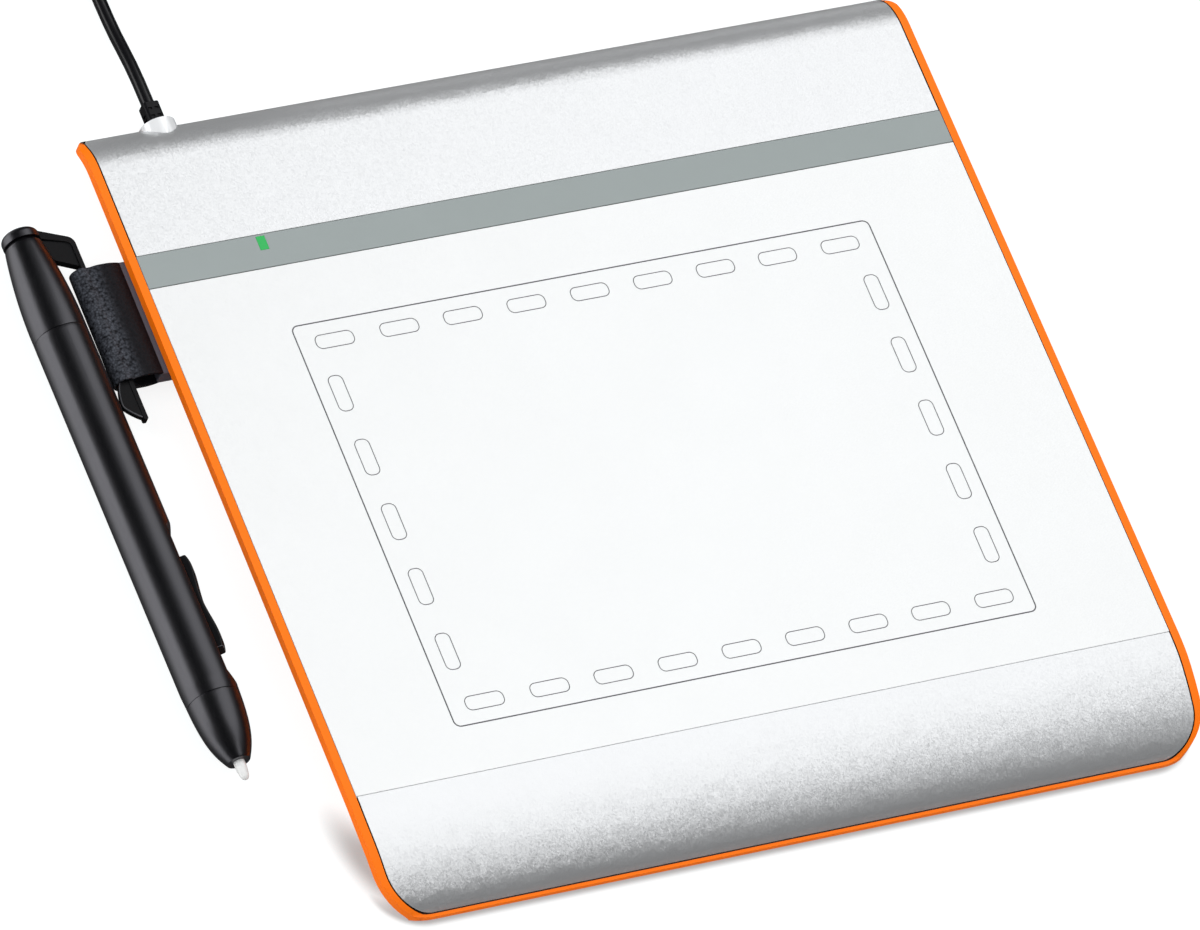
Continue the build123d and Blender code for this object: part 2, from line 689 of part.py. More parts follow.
def pen_inside():
    # Board with two push switches under the rocker
    board_x = (1.6, 2.4)
    save("pen_board", rocker_place(block(board_x, (-25.3, 7.2), (-3.4, 3.4))))
    switches = []
    for y in switch_stations():
        body = block((board_x[1], 3.4), (y - 1.5, y + 1.5), (-1.5, 1.5))
        plunger = Pos(3.55, y, 0) * Rot(0, 90, 0) * Cylinder(0.7, 0.3)
        switches.append(rocker_place(body + plunger))
    save("push_switches", *switches)

    # Cell, with its raised end towards the cap, and the contact behind it
    y0, y1 = BATTERY_Y
    cell_r = 5.25
    save("battery_cell", turned(*outline(
        (0, y0), (cell_r, y0), (cell_r, y1 - 1.0), (2.75, y1 - 1.0), (2.75, y1), (0, y1)
    )))
    save("battery_contact", turned(*outline((0, 8.4), (4.8, 8.4), (4.8, 8.8), (1.2, y0), (0, y0))))

    # Nose: hollow ogive with a spigot into the barrel
    shape = Spline((NOSE_R, NOSE_SEAM_Y), (5.35, -38.2), (4.25, -42.8), (NOSE_END_R, NOSE_END_Y),
                   tangents=[(-0.04, -1), (-0.55, -1)])
    bore = NIB_R + 0.08
    cavity = 3.6
    spigot_y = NOSE_SEAM_Y + 3.5
    save("nose_cone", turned(
        shape,
        *open_outline(
            (NOSE_END_R, NOSE_END_Y),
            (bore, NOSE_END_Y),
            (bore, -41.9),
            (cavity, -41.3),
            (cavity, spigot_y),
            (SPIGOT_R, spigot_y),
            (SPIGOT_R, NOSE_SEAM_Y),
            (NOSE_R, NOSE_SEAM_Y),
        ),
    ))

    # Ferrite core, its winding and the pressure sensor behind the nib
    save("ferrite_core", turned(*outline((0.95, -41.2), (2.4, -41.2), (2.4, -31.3), (0.95, -31.3))))
    save("antenna_winding", turned(*outline((2.42, -40.3), (3.4, -40.3), (3.4, -32.3), (2.42, -32.3))))
    save("pressure_sensor", turned(*outline((0, -28.4), (3.5, -28.4), (3.5, -25.8), (0, -25.8))))

    # Nib with a rounded tip and a thinner stem through the core
    straight_y = NOSE_END_Y - 0.3
    stem_r = 0.88
    stem_end_y = -29.5
    save("pen_nib", turned(
        ThreePointArc((0, NIB_TIP_Y), (0.64, -50.52), (0.96, -49.9)),
        ThreePointArc((0.96, -49.9), (1.2, -48.4), (NIB_R, straight_y)),
        *open_outline(
            (NIB_R, straight_y),
            (NIB_R, -43.4),
            (stem_r, -43.0),
            (stem_r, stem_end_y),
            (0, stem_end_y),
            (0, NIB_TIP_Y),
        ),
    ))


def loop_section(inset):
    """Loop's outline in the X-Z plane, inset by the thickness of its wall."""
    z0, z1 = LOOP_Z
    radius = (z1 - z0) / 2
    centre = (LOOP_LEFT + radius, (z0 + z1) / 2)
    low, high = z0 + inset, z1 - inset
    inner_radius = radius - inset
    bar_low, bar_high = BAR_Z[0] + inset, BAR_Z[1] - inset
    return [
        Line((BAR_FACE_X, bar_high), (LOOP_BEND_X, high)),
        Line((LOOP_BEND_X, high), (centre[0], high)),
        ThreePointArc((centre[0], high), (centre[0] - inner_radius, centre[1]), (centre[0], low)),
        Line((centre[0], low), (LOOP_BEND_X, low)),
        Line((LOOP_BEND_X, low), (BAR_FACE_X, bar_low)),
        Line((BAR_FACE_X, bar_low), (BAR_FACE_X, bar_high)),
    ]


def holder_loop():
    # The X-Z plane faces forwards, so the loop is drawn at its front and run to its back
    plane = Plane(origin=(0, LOOP_Y[0], 0), x_dir=(1, 0, 0), z_dir=(0, -1, 0))
    length = LOOP_Y[1] - LOOP_Y[0]
    outer = extrude(plane * face_of(loop_section(0)), -length)
    inner = extrude(plane * face_of(loop_section(LOOP_WALL)), -length)
    return outer - inner


def holder_bar():
    # Head with a sloping inner side that lies along the tray's side
    plane = Plane(origin=(0, LOOP_Y[0], 0), x_dir=(1, 0, 0), z_dir=(0, -1, 0))
    section = make_face(Polyline(
        (BAR_FACE_X, BAR_Z[0]), (BAR_INNER_X[0], BAR_Z[0]),
        (BAR_INNER_X[1], BAR_Z[1]), (BAR_FACE_X, BAR_Z[1]), close=True,
    ))
    head = extrude(plane * section, LOOP_Y[0] - LOOP_Y[1])
    head = fillet(head.edges().filter_by(Axis.Y).sort_by(Axis.X)[:2].sort_by(Axis.Z)[-1:], 0.4)
    tongue = block((BAR_INNER_X[1], TONGUE_END_X), TONGUE_Y, TONGUE_Z)
    bar = head + tongue
    for place in CLAMP_SCREWS:
        bar -= pillar(place, 1.1, (0, TOP_Z))
    return bar


def arc_radii(points, share=0.45):
    """Largest tidy radius at each corner of a route, printed with its turn."""
    radii = []
    for before, corner, after in zip(points, points[1:], points[2:]):
        a = Vector(*corner) - Vector(*before)
        b = Vector(*after) - Vector(*corner)
        turn = a.get_angle(b)
        radius = share * min(a.length, b.length) / math.tan(math.radians(turn) / 2)
        radii.append(radius)
        print(f"turn {turn:.1f} deg, radius {radius:.1f} mm, {radius / LEAD_DIAMETER:.1f} diameters")
    return radii


def round_tube(path, start, direction):
    section = Plane(origin=start, z_dir=direction) * Circle(LEAD_DIAMETER / 2)
    tube = sweep(section, path=path)
    area = math.pi * (LEAD_DIAMETER / 2) ** 2
    share = tube.volume / area / path.length
    print(f"tube length {path.length:.1f} mm, volume over section times length {share:.4f}")
    return tube


def routed_tube(points):
    path = FilletPolyline(*points, radius=arc_radii(points))
    first = Vector(*points[1]) - Vector(*points[0])
    return round_tube(path, points[0], first), path.length


COIL_OUTER = COIL_MEAN_RADIUS + HALF_TURNS * COIL_PITCH / 4
COIL_INNER = COIL_MEAN_RADIUS - HALF_TURNS * COIL_PITCH / 4
COIL_X = LEAD_X + COIL_OUTER
COIL_BASE_Z = TIE_THICK + 0.05 + LEAD_DIAMETER / 2


def coil_crossings():
    """Where the coil crosses the line through its centre along X, as (x, z) from the centre."""
    step = COIL_PITCH / 2
    crossings = []
    side = -1
    reach = COIL_OUTER
    for layer in range(4):
        count = HALF_TURNS - 1 if layer == 3 else HALF_TURNS
        grow = -step if layer % 2 == 0 else step
        z = COIL_BASE_Z + layer * COIL_RISE
        crossings.append((side * reach, z))
        for _ in range(count):
            reach += grow
            side = -side
            crossings.append((side * reach, z))
        side = -side
    return crossings


def coil_path():
    """Half turns between the crossings. Each climb is a tilted half turn of steady radius."""
    crossings = coil_crossings()
    edges = []
    heading = 1
    x, z = crossings[0]
    start = Vector(COIL_X + x, COIL_CENTRE_Y, z)
    edges.append(Line(start - Vector(0, LEAD_DIAMETER, 0), start))
    for (x0, z0), (x1, z1) in zip(crossings, crossings[1:]):
        a = Vector(COIL_X + x0, COIL_CENTRE_Y, z0)
        b = Vector(COIL_X + x1, COIL_CENTRE_Y, z1)
        far = (a + b) / 2 + Vector(0, heading * (b - a).length / 2, 0)
        edges.append(ThreePointArc(a, far, b))
        heading = -heading
    x, z = crossings[-1]
    end = Vector(COIL_X + x, COIL_CENTRE_Y, z)
    edges.append(Line(end, end + Vector(0, heading * LEAD_DIAMETER, 0)))
    return Wire(edges)


def least_self_gap(path):
    """Least distance between stretches of the coil that are over half a turn apart."""
    count = int(path.length / 0.8)
    spots = [path.position_at(i / count) for i in range(count + 1)]
    away = int(math.pi * COIL_INNER / 0.8 * 0.8)
    least = min(
        (spots[i] - spots[j]).length
        for i in range(0, count + 1)
        for j in range(i + away, count + 1)
    )
    return least - LEAD_DIAMETER


def cord_pieces():
    coil_start_y = COIL_CENTRE_Y - LEAD_DIAMETER
    run = [
        (LEAD_X, RELIEF_END_Y, LEAD_Z),
        (LEAD_X, 123.4, LEAD_Z),
        (LEAD_X + 0.4, 136.0, CORD_AXIS_Z),
        (LEAD_X, 150.5, COIL_BASE_Z),
        (LEAD_X, coil_start_y, COIL_BASE_Z),
    ]
    cord, cord_length = routed_tube(run)
    save("usb_cord", cord)

    path = coil_path()
    print(f"coil least self gap {least_self_gap(path):.2f} mm")
    coil = round_tube(path, path.position_at(0), (0, 1, 0))
    save("usb_coil", coil)

    last_x, last_z = coil_crossings()[-1]
    x = COIL_X + last_x
    y = COIL_CENTRE_Y + LEAD_DIAMETER
    plug_z = PLUG_SIZE[2] / 2
    tail = [
        (x, y, last_z),
        (x, y + 9.0, last_z),
        (x + 1.5, y + 20.5, 9.0),
        (x + 6.5, y + 30.5, 5.2),
        (x + 16.0, y + 36.2, plug_z),
        (x + 26.5, y + 36.2, plug_z),
    ]
    tube, tail_length = routed_tube(tail)
    save("usb_tail", tube)
    print(f"whole lead {cord_length + path.length + tail_length:.0f} mm")

    # Tie round the bundle, at the coil's right side
    z_top = COIL_BASE_Z + 3 * COIL_RISE + LEAD_DIAMETER / 2 + 0.1
    inner = (COIL_X + COIL_INNER - 2.1, COIL_X + COIL_OUTER + 1.6)
    ring_y = (COIL_CENTRE_Y - 3, COIL_CENTRE_Y + 3)
    outer = block((inner[0] - TIE_THICK, inner[1] + TIE_THICK), ring_y, (0, z_top + TIE_THICK))
    outer = fillet(outer.edges().filter_by(Axis.Y), 1.2)
    hole = fillet(block(inner, ring_y, (TIE_THICK, z_top)).edges().filter_by(Axis.Y), 0.6)
    save("cord_tie", outer - hole)
    plug_pieces(Pos(*tail[-1]))


def plug_pieces(place):
    """Plug pointing along +X from the end of the lead."""
    length, width, height = PLUG_SIZE
    boot = loft([
        Plane.YZ * Circle(2.3),
        Plane.YZ.offset(PLUG_BOOT) * Circle(3.4),
    ])
    grip = Pos(PLUG_BOOT + length / 2, 0, 0) * Box(length, width, height)
    grip = fillet(grip.edges().filter_by(Axis.X), 2.0)
    shell_start = PLUG_BOOT + length
    inner = (PLUG_SHELL[1] - 2 * PLUG_SHEET, PLUG_SHELL[2] - 2 * PLUG_SHEET)
    save("plug_overmould", place * (boot + grip))

    shell_x = shell_start + PLUG_SHELL[0] / 2
    shell = Pos(shell_x, 0, 0) * Box(*PLUG_SHELL)
    shell -= Pos(shell_x, 0, 0) * Box(PLUG_SHELL[0], *inner)
    for y in (-2.9, 2.9):
        shell -= Pos(shell_start + 13.5, y, 0) * Box(2.4, 2.4, 10)
    save("plug_shell", place * shell)

    tongue_length = PLUG_SHELL[0] - 0.6
    tongue_z = (-inner[1] / 2, -inner[1] / 2 + 1.8)
    tongue = block((shell_start, shell_start + tongue_length), (-inner[0] / 2, inner[0] / 2), tongue_z)
    save("plug_tongue", place * tongue)
    contacts = []
    for y in (-3.5, -1.0, 1.0, 3.5):
        contacts.append(place * block((shell_start + 1, shell_start + 16), (y - 0.5, y + 0.5),
                                      (tongue_z[1], tongue_z[1] + 0.2)))
    save("plug_contacts", *contacts)


def build():
    save("base_tray", base_tray())
    save("top_cover", top_cover())
    sheet_pieces()
    sensor_pieces()
    controller_pieces()
    save("case_screws", *case_screws())
    save("rubber_feet", *rubber_feet())
    save("strain_relief", strain_relief())
    pen_cap()
    save("pen_barrel", pen_barrel())
    save("side_switch", side_switch())
    pen_inside()
    save("holder_loop", holder_loop())
    save("holder_bar", holder_bar())
    save("clamp_screws", *[screw(place, TONGUE_Z[1], 1.9, 0.9, 0.9, 4.2) for place in CLAMP_SCREWS])
    cord_pieces()


build()
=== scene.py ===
import math

import bmesh
import bpy
from mathutils import Matrix, Quaternion, Vector


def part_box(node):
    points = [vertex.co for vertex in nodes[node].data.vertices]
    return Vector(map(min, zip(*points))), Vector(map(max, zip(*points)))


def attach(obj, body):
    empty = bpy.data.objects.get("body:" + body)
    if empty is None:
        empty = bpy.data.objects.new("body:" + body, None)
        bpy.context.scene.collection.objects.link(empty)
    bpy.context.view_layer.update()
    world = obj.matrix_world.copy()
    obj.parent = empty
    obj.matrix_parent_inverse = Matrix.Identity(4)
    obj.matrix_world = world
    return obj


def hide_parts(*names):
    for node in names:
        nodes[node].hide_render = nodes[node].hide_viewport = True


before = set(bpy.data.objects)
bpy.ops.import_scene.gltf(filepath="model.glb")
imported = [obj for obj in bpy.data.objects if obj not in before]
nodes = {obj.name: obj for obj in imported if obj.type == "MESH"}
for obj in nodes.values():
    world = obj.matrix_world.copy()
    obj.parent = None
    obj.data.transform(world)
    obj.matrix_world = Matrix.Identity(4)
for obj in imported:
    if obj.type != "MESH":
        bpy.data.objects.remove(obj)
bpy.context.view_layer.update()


# The desk and the studio, none of it part of the tablet: a white table, a pale room
# that the camera sees as white, and five soft boxes. The largest hangs overhead at
# the back, and two of them give light without showing in reflections.
CAMERA_PLACE = Vector((-1.15498, -1.1733, 2.2740))
CAMERA_AIM = Vector((0.00422, -0.0027, 0.0))
CAMERA_ROLL = math.radians(27.8)

bpy.context.scene.view_settings.view_transform = "Standard"

camera_data = bpy.data.cameras.new("camera")
camera_data.lens = 390.0
camera_data.sensor_width = 36.0
camera_data.clip_start = 0.1
camera_data.clip_end = 50.0
camera = bpy.data.objects.new("camera", camera_data)
bpy.context.scene.collection.objects.link(camera)
camera.location = CAMERA_PLACE
camera.rotation_mode = "QUATERNION"
facing = (CAMERA_AIM - CAMERA_PLACE).to_track_quat("-Z", "Y")
camera.rotation_quaternion = facing @ Quaternion((0, 0, 1), CAMERA_ROLL)
bpy.context.scene.camera = camera


def placed(name, mesh):
    """A new object at the origin, with its place in its mesh."""
    piece = bpy.data.objects.new(name, mesh)
    bpy.context.scene.collection.objects.link(piece)
    return piece


def wired(owner, kind, **values):
    """A node of the given kind in the owner's tree, with its sockets set by name."""
    node = owner.node_tree.nodes.new(kind)
    for socket, value in values.items():
        node.inputs[socket.replace("_", " ")].default_value = value
    return node


def maths(owner, kind, operation):
    """A math node of the given kind, set to one operation."""
    node = wired(owner, kind)
    node.operation = operation
    return node


def fade(owner, span, start, end):
    """A smooth change from start to end while its Value goes over the span."""
    node = wired(
        owner, "ShaderNodeMapRange", From_Min=span[0], From_Max=span[1], To_Min=start, To_Max=end
    )
    node.interpolation_type = "SMOOTHSTEP"
    return node


def colour_mix(owner, first=(0, 0, 0), second=(0, 0, 0)):
    """A mix of two colours, its sockets 6 and 7. The result is its output 2."""
    node = wired(owner, "ShaderNodeMix")
    node.data_type = "RGBA"
    node.inputs[6].default_value = (*first, 1)
    node.inputs[7].default_value = (*second, 1)
    return node


def join(owner, source, output, target, socket):
    """Links one node's output to another's socket."""
    owner.node_tree.links.new(source.outputs[output], target.inputs[socket])


def bare_material(name):
    """A material with only its output, and the object's own coordinates."""
    material = bpy.data.materials.new(name)
    material.use_nodes = True
    material.node_tree.nodes.clear()
    output = wired(material, "ShaderNodeOutputMaterial")
    place = wired(material, "ShaderNodeTexCoord")
    return material, output, place


# Painted shadow on the table: its glow is lowered along the case's rounded front and in an
# oval off its left corner. Sizes are in metres from the middle of the tablet's footprint.
OUTLINE_MIDDLE = (0.01275, -0.00295, 0)
OUTLINE_CORE = (0.0868, 0.08715, 0)
OUTLINE_FADE = (0.0108, 0.0127)
FRONT_FADE = (-0.098, -0.088)
FRONT_PAINTED_SHADE = 0.50
OVAL_MIDDLE = (-0.0822, -0.0858, 0)
OVAL_HALF = (0.0066, 0.0185, 1)
OVAL_TURN = math.radians(20.5)
OVAL_FADE = (0.2, 1.08)
OVAL_PAINTED_SHADE = 0.55
TABLE_GLOW = 0.87
TABLE_LIT = (0.85, 0.85, 0.85)
# The camera sees it tinted a little blue, painted to cancel the orange light the case throws on it.
TABLE_SEEN_PAINTED_TINT = (0.205, 0.245, 0.25)

# In reflections it has painted shade near the case and a painted glow to the left of the pen.
NEAR_FADE = (0.15, 0.42)
LEFT_FADE = (-0.128, -0.112)
LEFT_PAINTED_GLOW, RIGHT_PAINTED_GLOW = 0.55, 0.03
TABLE_NEAR_PAINTED_SHADE = (0.08, 0.08, 0.08)


def white_table_painted_shade():
    """White to the camera, with painted shadow in front of the case; in reflections, painted
    shade close to it and a painted glow left of the pen."""
    material, output, place = bare_material("white_table_painted_shade")
    link = material.node_tree.links.new
    matt = wired(material, "ShaderNodeBsdfDiffuse")
    glow = wired(material, "ShaderNodeEmission", Color=(1, 1, 1, 1))
    both = wired(material, "ShaderNodeAddShader")
    ray = wired(material, "ShaderNodeLightPath")

    def vector(operation, source, value=(0, 0, 0)):
        node = maths(material, "ShaderNodeVectorMath", operation)
        link(source, node.inputs[0])
        node.inputs[1].default_value = value
        return node.outputs["Value" if operation == "LENGTH" else "Vector"]

    def number(operation, first, second):
        node = maths(material, "ShaderNodeMath", operation)
        for socket, value in zip(node.inputs, (first, second)):
            if isinstance(value, float):
                socket.default_value = value
            else:
                link(value, socket)
        return node.outputs["Value"]

    def ramp(source, span, start, end):
        node = fade(material, span, start, end)
        link(source, node.inputs["Value"])
        return node.outputs["Result"]

    here = place.outputs["Object"]
    # Painted shadow: the glow is lowered round the case's front and in the oval off its corner.
    from_edge = vector("ABSOLUTE", vector("SUBTRACT", here, OUTLINE_MIDDLE))
    from_edge = vector("MAXIMUM", vector("SUBTRACT", from_edge, OUTLINE_CORE))
    edge = ramp(vector("LENGTH", from_edge), OUTLINE_FADE, FRONT_PAINTED_SHADE, 0.0)
    axes = wired(material, "ShaderNodeSeparateXYZ")
    link(here, axes.inputs["Vector"])
    edge = number("MULTIPLY", edge, ramp(axes.outputs["Y"], FRONT_FADE, 1.0, 0.0))
    oval = wired(material, "ShaderNodeMapping", Location=OVAL_MIDDLE, Scale=OVAL_HALF)
    oval.inputs["Rotation"].default_value = (0, 0, OVAL_TURN)
    oval.vector_type = "TEXTURE"
    link(here, oval.inputs["Vector"])
    corner = ramp(vector("LENGTH", oval.outputs["Vector"]), OVAL_FADE, OVAL_PAINTED_SHADE, 0.0)
    lift = number("SUBTRACT", TABLE_GLOW, number("MAXIMUM", edge, corner))
    # In reflections only: painted shade close to the case and a painted glow left of the pen.
    mirrored = number("MAXIMUM", ray.outputs["Is Glossy Ray"], ray.outputs["Is Transmission Ray"])
    near = number("MULTIPLY", mirrored, ramp(vector("LENGTH", here), NEAR_FADE, 1.0, 0.0))
    near = number("MULTIPLY", near, ramp(axes.outputs["X"], LEFT_FADE, 0.0, 1.0))
    painted_mirror_glow = ramp(axes.outputs["X"], LEFT_FADE, LEFT_PAINTED_GLOW, RIGHT_PAINTED_GLOW)
    seen_tone = colour_mix(material, TABLE_LIT, TABLE_SEEN_PAINTED_TINT)
    link(ray.outputs["Is Camera Ray"], seen_tone.inputs["Factor"])
    tone = colour_mix(material, second=TABLE_NEAR_PAINTED_SHADE)
    link(near, tone.inputs["Factor"])
    link(seen_tone.outputs[2], tone.inputs[6])
    link(tone.outputs[2], matt.inputs["Color"])
    strength = number("MULTIPLY", ray.outputs["Is Camera Ray"], lift)
    strength = number("ADD", strength, number("MULTIPLY", mirrored, painted_mirror_glow))
    link(strength, glow.inputs["Strength"])
    join(material, matt, "BSDF", both, 0)
    join(material, glow, "Emission", both, 1)
    join(material, both, "Shader", output, "Surface")
    return material


TABLE_HALF = 4.0
TABLE_Z = -0.0001
table_shape = bmesh.new()
bmesh.ops.create_grid(table_shape, x_segments=1, y_segments=1, size=TABLE_HALF)
table_mesh = bpy.data.meshes.new("table_top")
table_shape.to_mesh(table_mesh)
table_shape.free()
table = placed("table_top", table_mesh)
table.location.z = TABLE_Z
table_mesh.materials.append(white_table_painted_shade())

# In reflections the room is dark apart from a bright patch high up at the right.
BRIGHT_SIDE = Vector((0.40, 0.22, 0.89))
BRIGHT_FADE = (0.72, 0.95)
ROOM_DIM, ROOM_BRIGHT = 0.004, 0.30

room = bpy.data.worlds.new("room")
bpy.context.scene.world = room
room.use_nodes = True
room.node_tree.nodes.clear()
room_out = wired(room, "ShaderNodeOutputWorld")
room_soft = wired(room, "ShaderNodeBackground", Color=(0.97, 0.985, 1.0, 1), Strength=0.60)
room_seen = wired(room, "ShaderNodeBackground", Color=(1, 1, 1, 1), Strength=1.0)
room_studio = wired(room, "ShaderNodeBackground", Color=(0.96, 0.98, 1.0, 1))
room_place = wired(room, "ShaderNodeTexCoord")
room_side = maths(room, "ShaderNodeVectorMath", "DOT_PRODUCT")
room_side.inputs[1].default_value = BRIGHT_SIDE.normalized()
room_fade = fade(room, BRIGHT_FADE, ROOM_DIM, ROOM_BRIGHT)
room_ray = wired(room, "ShaderNodeLightPath")
room_any = maths(room, "ShaderNodeMath", "MAXIMUM")
room_mirror = wired(room, "ShaderNodeMixShader")
room_mix = wired(room, "ShaderNodeMixShader")
join(room, room_place, "Generated", room_side, 0)
join(room, room_side, "Value", room_fade, "Value")
join(room, room_fade, "Result", room_studio, "Strength")
join(room, room_ray, "Is Glossy Ray", room_any, 0)
join(room, room_ray, "Is Transmission Ray", room_any, 1)
join(room, room_any, "Value", room_mirror, "Fac")
join(room, room_soft, "Background", room_mirror, 1)
join(room, room_studio, "Background", room_mirror, 2)
join(room, room_ray, "Is Camera Ray", room_mix, "Fac")
join(room, room_mirror, "Shader", room_mix, 1)
join(room, room_seen, "Background", room_mix, 2)
join(room, room_mix, "Shader", room_out, "Surface")


def soft_box(name, place, aim, size, watts, turn=0.0, mirrored=True):
    """An area lamp aimed at a point and turned about that line."""
    light = bpy.data.lights.new(name, "AREA")
    light.shape = "RECTANGLE"
    light.size, light.size_y = size
    light.energy = watts
    lamp = bpy.data.objects.new(name, light)
    bpy.context.scene.collection.objects.link(lamp)
    lamp.location = place
    lamp.rotation_mode = "QUATERNION"
    away = (Vector(aim) - Vector(place)).to_track_quat("-Z", "Y")
    lamp.rotation_quaternion = away @ Quaternion((0, 0, 1), turn)
    lamp.visible_glossy = mirrored


soft_box("key", (0.55, 0.65, 1.0), (0, 0, 0), (0.7, 0.7), 2.4, mirrored=False)
soft_box("fill", (-0.80, 0.15, 0.80), (0, 0, 0), (0.6, 0.6), 4.5, mirrored=False)
soft_box("overhead", (0.544, 0.43, 1.0), (0.544, 0.43, 0), (0.80, 1.6), 4.1, math.radians(-42))
soft_box("left_side", (-1.15, 0.50, 0.17), (-0.1, 0, 0.05), (0.9, 0.42), 2.4)
soft_box("front_left", (0.08, -0.50, 0.85), (-0.08, -0.09, 0), (0.30, 0.30), 0.48)


# The lead, one smooth round cord of 3 mm from the relief to the plug. It leaves the
# case, comes down to the table and runs on past the picture's edge, where the rest
# of its 1.5 m is put away in a tied coil of four layers, with the plug beside it.
MM = 0.001
ROW_X = 12.75 * MM
ROW_Y = -12.3 * MM
LEAD_X = -78.2 * MM
LEAD_Z = 4.9 * MM
LEAD_THICK = 3.0 * MM
RELIEF_END_Y = 113.9 * MM
COIL_CENTRE_Y = 167.0 * MM
COIL_PITCH = 4.1 * MM
COIL_RISE = 3.8 * MM
COIL_LAYERS = 4
HALF_TURNS = 6
COIL_OUTER = 23.65 * MM
COIL_X = LEAD_X + COIL_OUTER
COIL_BASE_Z = 2.15 * MM
POINTS_A_HALF_TURN = 8


def coil_crossings():
    """Where the coil crosses the line through its centre along X, as (x, z)."""
    crossings = []
    side = -1
    reach = COIL_OUTER
    for layer in range(COIL_LAYERS):
        count = HALF_TURNS - 1 if layer == COIL_LAYERS - 1 else HALF_TURNS
        grow = -COIL_PITCH / 2 if layer % 2 == 0 else COIL_PITCH / 2
        height = COIL_BASE_Z + layer * COIL_RISE
        crossings.append((side * reach, height))
        for _ in range(count):
            reach += grow
            side = -side
            crossings.append((side * reach, height))
        side = -side
    return crossings


def coil_points():
    """Control points of the coil's half turns, just outside the line that they give."""
    step = math.pi / POINTS_A_HALF_TURN
    outside = 1 / math.cos(step / 2)
    points = []
    heading = 1
    crossings = coil_crossings()
    for (x0, z0), (x1, z1) in zip(crossings, crossings[1:]):
        start = Vector((COIL_X + x0, COIL_CENTRE_Y, z0))
        end = Vector((COIL_X + x1, COIL_CENTRE_Y, z1))
        middle = (start + end) / 2
        half = (end - start) / 2
        sideways = Vector((0, heading * half.length, 0))
        for count in range(POINTS_A_HALF_TURN):
            angle = (count + 0.5) * step
            points.append(middle + outside * (sideways * math.sin(angle) - half * math.cos(angle)))
        heading = -heading
    return points


lead_run = [
    (LEAD_X, RELIEF_END_Y, LEAD_Z),
    (LEAD_X, 123.4 * MM, LEAD_Z),
    (LEAD_X + 0.4 * MM, 136.0 * MM, 1.55 * MM),
    (LEAD_X, 150.5 * MM, COIL_BASE_Z),
    (LEAD_X, COIL_CENTRE_Y - LEAD_THICK, COIL_BASE_Z),
]
coil_end_x, coil_end_z = coil_crossings()[-1]
tail_x = COIL_X + coil_end_x
tail_y = COIL_CENTRE_Y + LEAD_THICK
PLUG_Z = 3.8 * MM
lead_tail = [
    (tail_x, tail_y, coil_end_z),
    (tail_x, tail_y + 9.0 * MM, coil_end_z),
    (tail_x + 1.5 * MM, tail_y + 20.5 * MM, 9.0 * MM),
    (tail_x + 6.5 * MM, tail_y + 30.5 * MM, 5.2 * MM),
    (tail_x + 16.0 * MM, tail_y + 36.2 * MM, PLUG_Z),
    (tail_x + 26.5 * MM, tail_y + 36.2 * MM, PLUG_Z),
]
row_shift = Vector((ROW_X, ROW_Y, 0))
lead_points = [Vector(p) + row_shift for p in lead_run + coil_points() + lead_tail]

lead_curve = bpy.data.curves.new("usb_lead", "CURVE")
lead_curve.dimensions = "3D"
lead_curve.bevel_depth = 1.0
lead_curve.bevel_resolution = 4
lead_curve.use_fill_caps = True
lead_curve.resolution_u = 3
lead_line = lead_curve.splines.new("NURBS")
lead_line.points.add(len(lead_points) - 1)
for control, point in zip(lead_line.points, lead_points):
    control.co = (*point, 1)
    control.radius = LEAD_THICK / 2
lead_line.order_u = 3
lead_line.use_endpoint_u = True
lead = placed("usb_lead", lead_curve)
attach(lead, "case")
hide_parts("usb_cord", "usb_coil", "usb_tail")


GLOSS_SHIFT = 0.12


def moulded(name, colour, roughness, grain=2600.0, depth=0.02 * MM, mottle=0.05, **shader_values):
    """Moulded plastic or rubber: a fine grain in its skin and faint changes of colour."""
    material, output, place = bare_material(name)
    skin = wired(material, "ShaderNodeBsdfPrincipled", Roughness=roughness)
    for socket, value in shader_values.items():
        skin.inputs[socket.replace("_", " ")].default_value = value
    patches = wired(material, "ShaderNodeTexNoise", Scale=90.0, Detail=3.0)
    dark, light = [tuple(min(c * (1 + s * mottle), 1) for c in colour) for s in (-1, 1)]
    shade = colour_mix(material, dark, light)
    fine = wired(material, "ShaderNodeTexNoise", Scale=grain, Detail=2.0)
    bump = wired(material, "ShaderNodeBump", Strength=0.35, Distance=depth)
    low, high = roughness * (1 - GLOSS_SHIFT), min(roughness * (1 + GLOSS_SHIFT), 1)
    gloss = wired(material, "ShaderNodeMapRange", To_Min=low, To_Max=high)
    join(material, place, "Object", patches, "Vector")
    join(material, place, "Object", fine, "Vector")
    join(material, patches, "Fac", shade, "Factor")
    join(material, patches, "Fac", gloss, "Value")
    join(material, gloss, "Result", skin, "Roughness")
    join(material, fine, "Fac", bump, "Height")
    join(material, bump, "Normal", skin, "Normal")
    material.node_tree.links.new(shade.outputs[2], skin.inputs["Base Color"])
    join(material, skin, "BSDF", output, "Surface")
    return material


def dress(material, *names):
    """Gives CAD nodes their material."""
    for name in names:
        mesh = nodes[name].data
        mesh.materials.clear()
        mesh.materials.append(material)


MERGE_DISTANCE = 0.002 * MM
FLAT_ANGLE = math.radians(0.4)
SHARP_ANGLE = math.radians(35)


def smooth_mesh(shape, name):
    """A mesh of the shape with every face shaded smooth."""
    for face in shape.faces:
        face.smooth = True
    mesh = bpy.data.meshes.new(name)
    shape.to_mesh(mesh)
    shape.free()
    return mesh


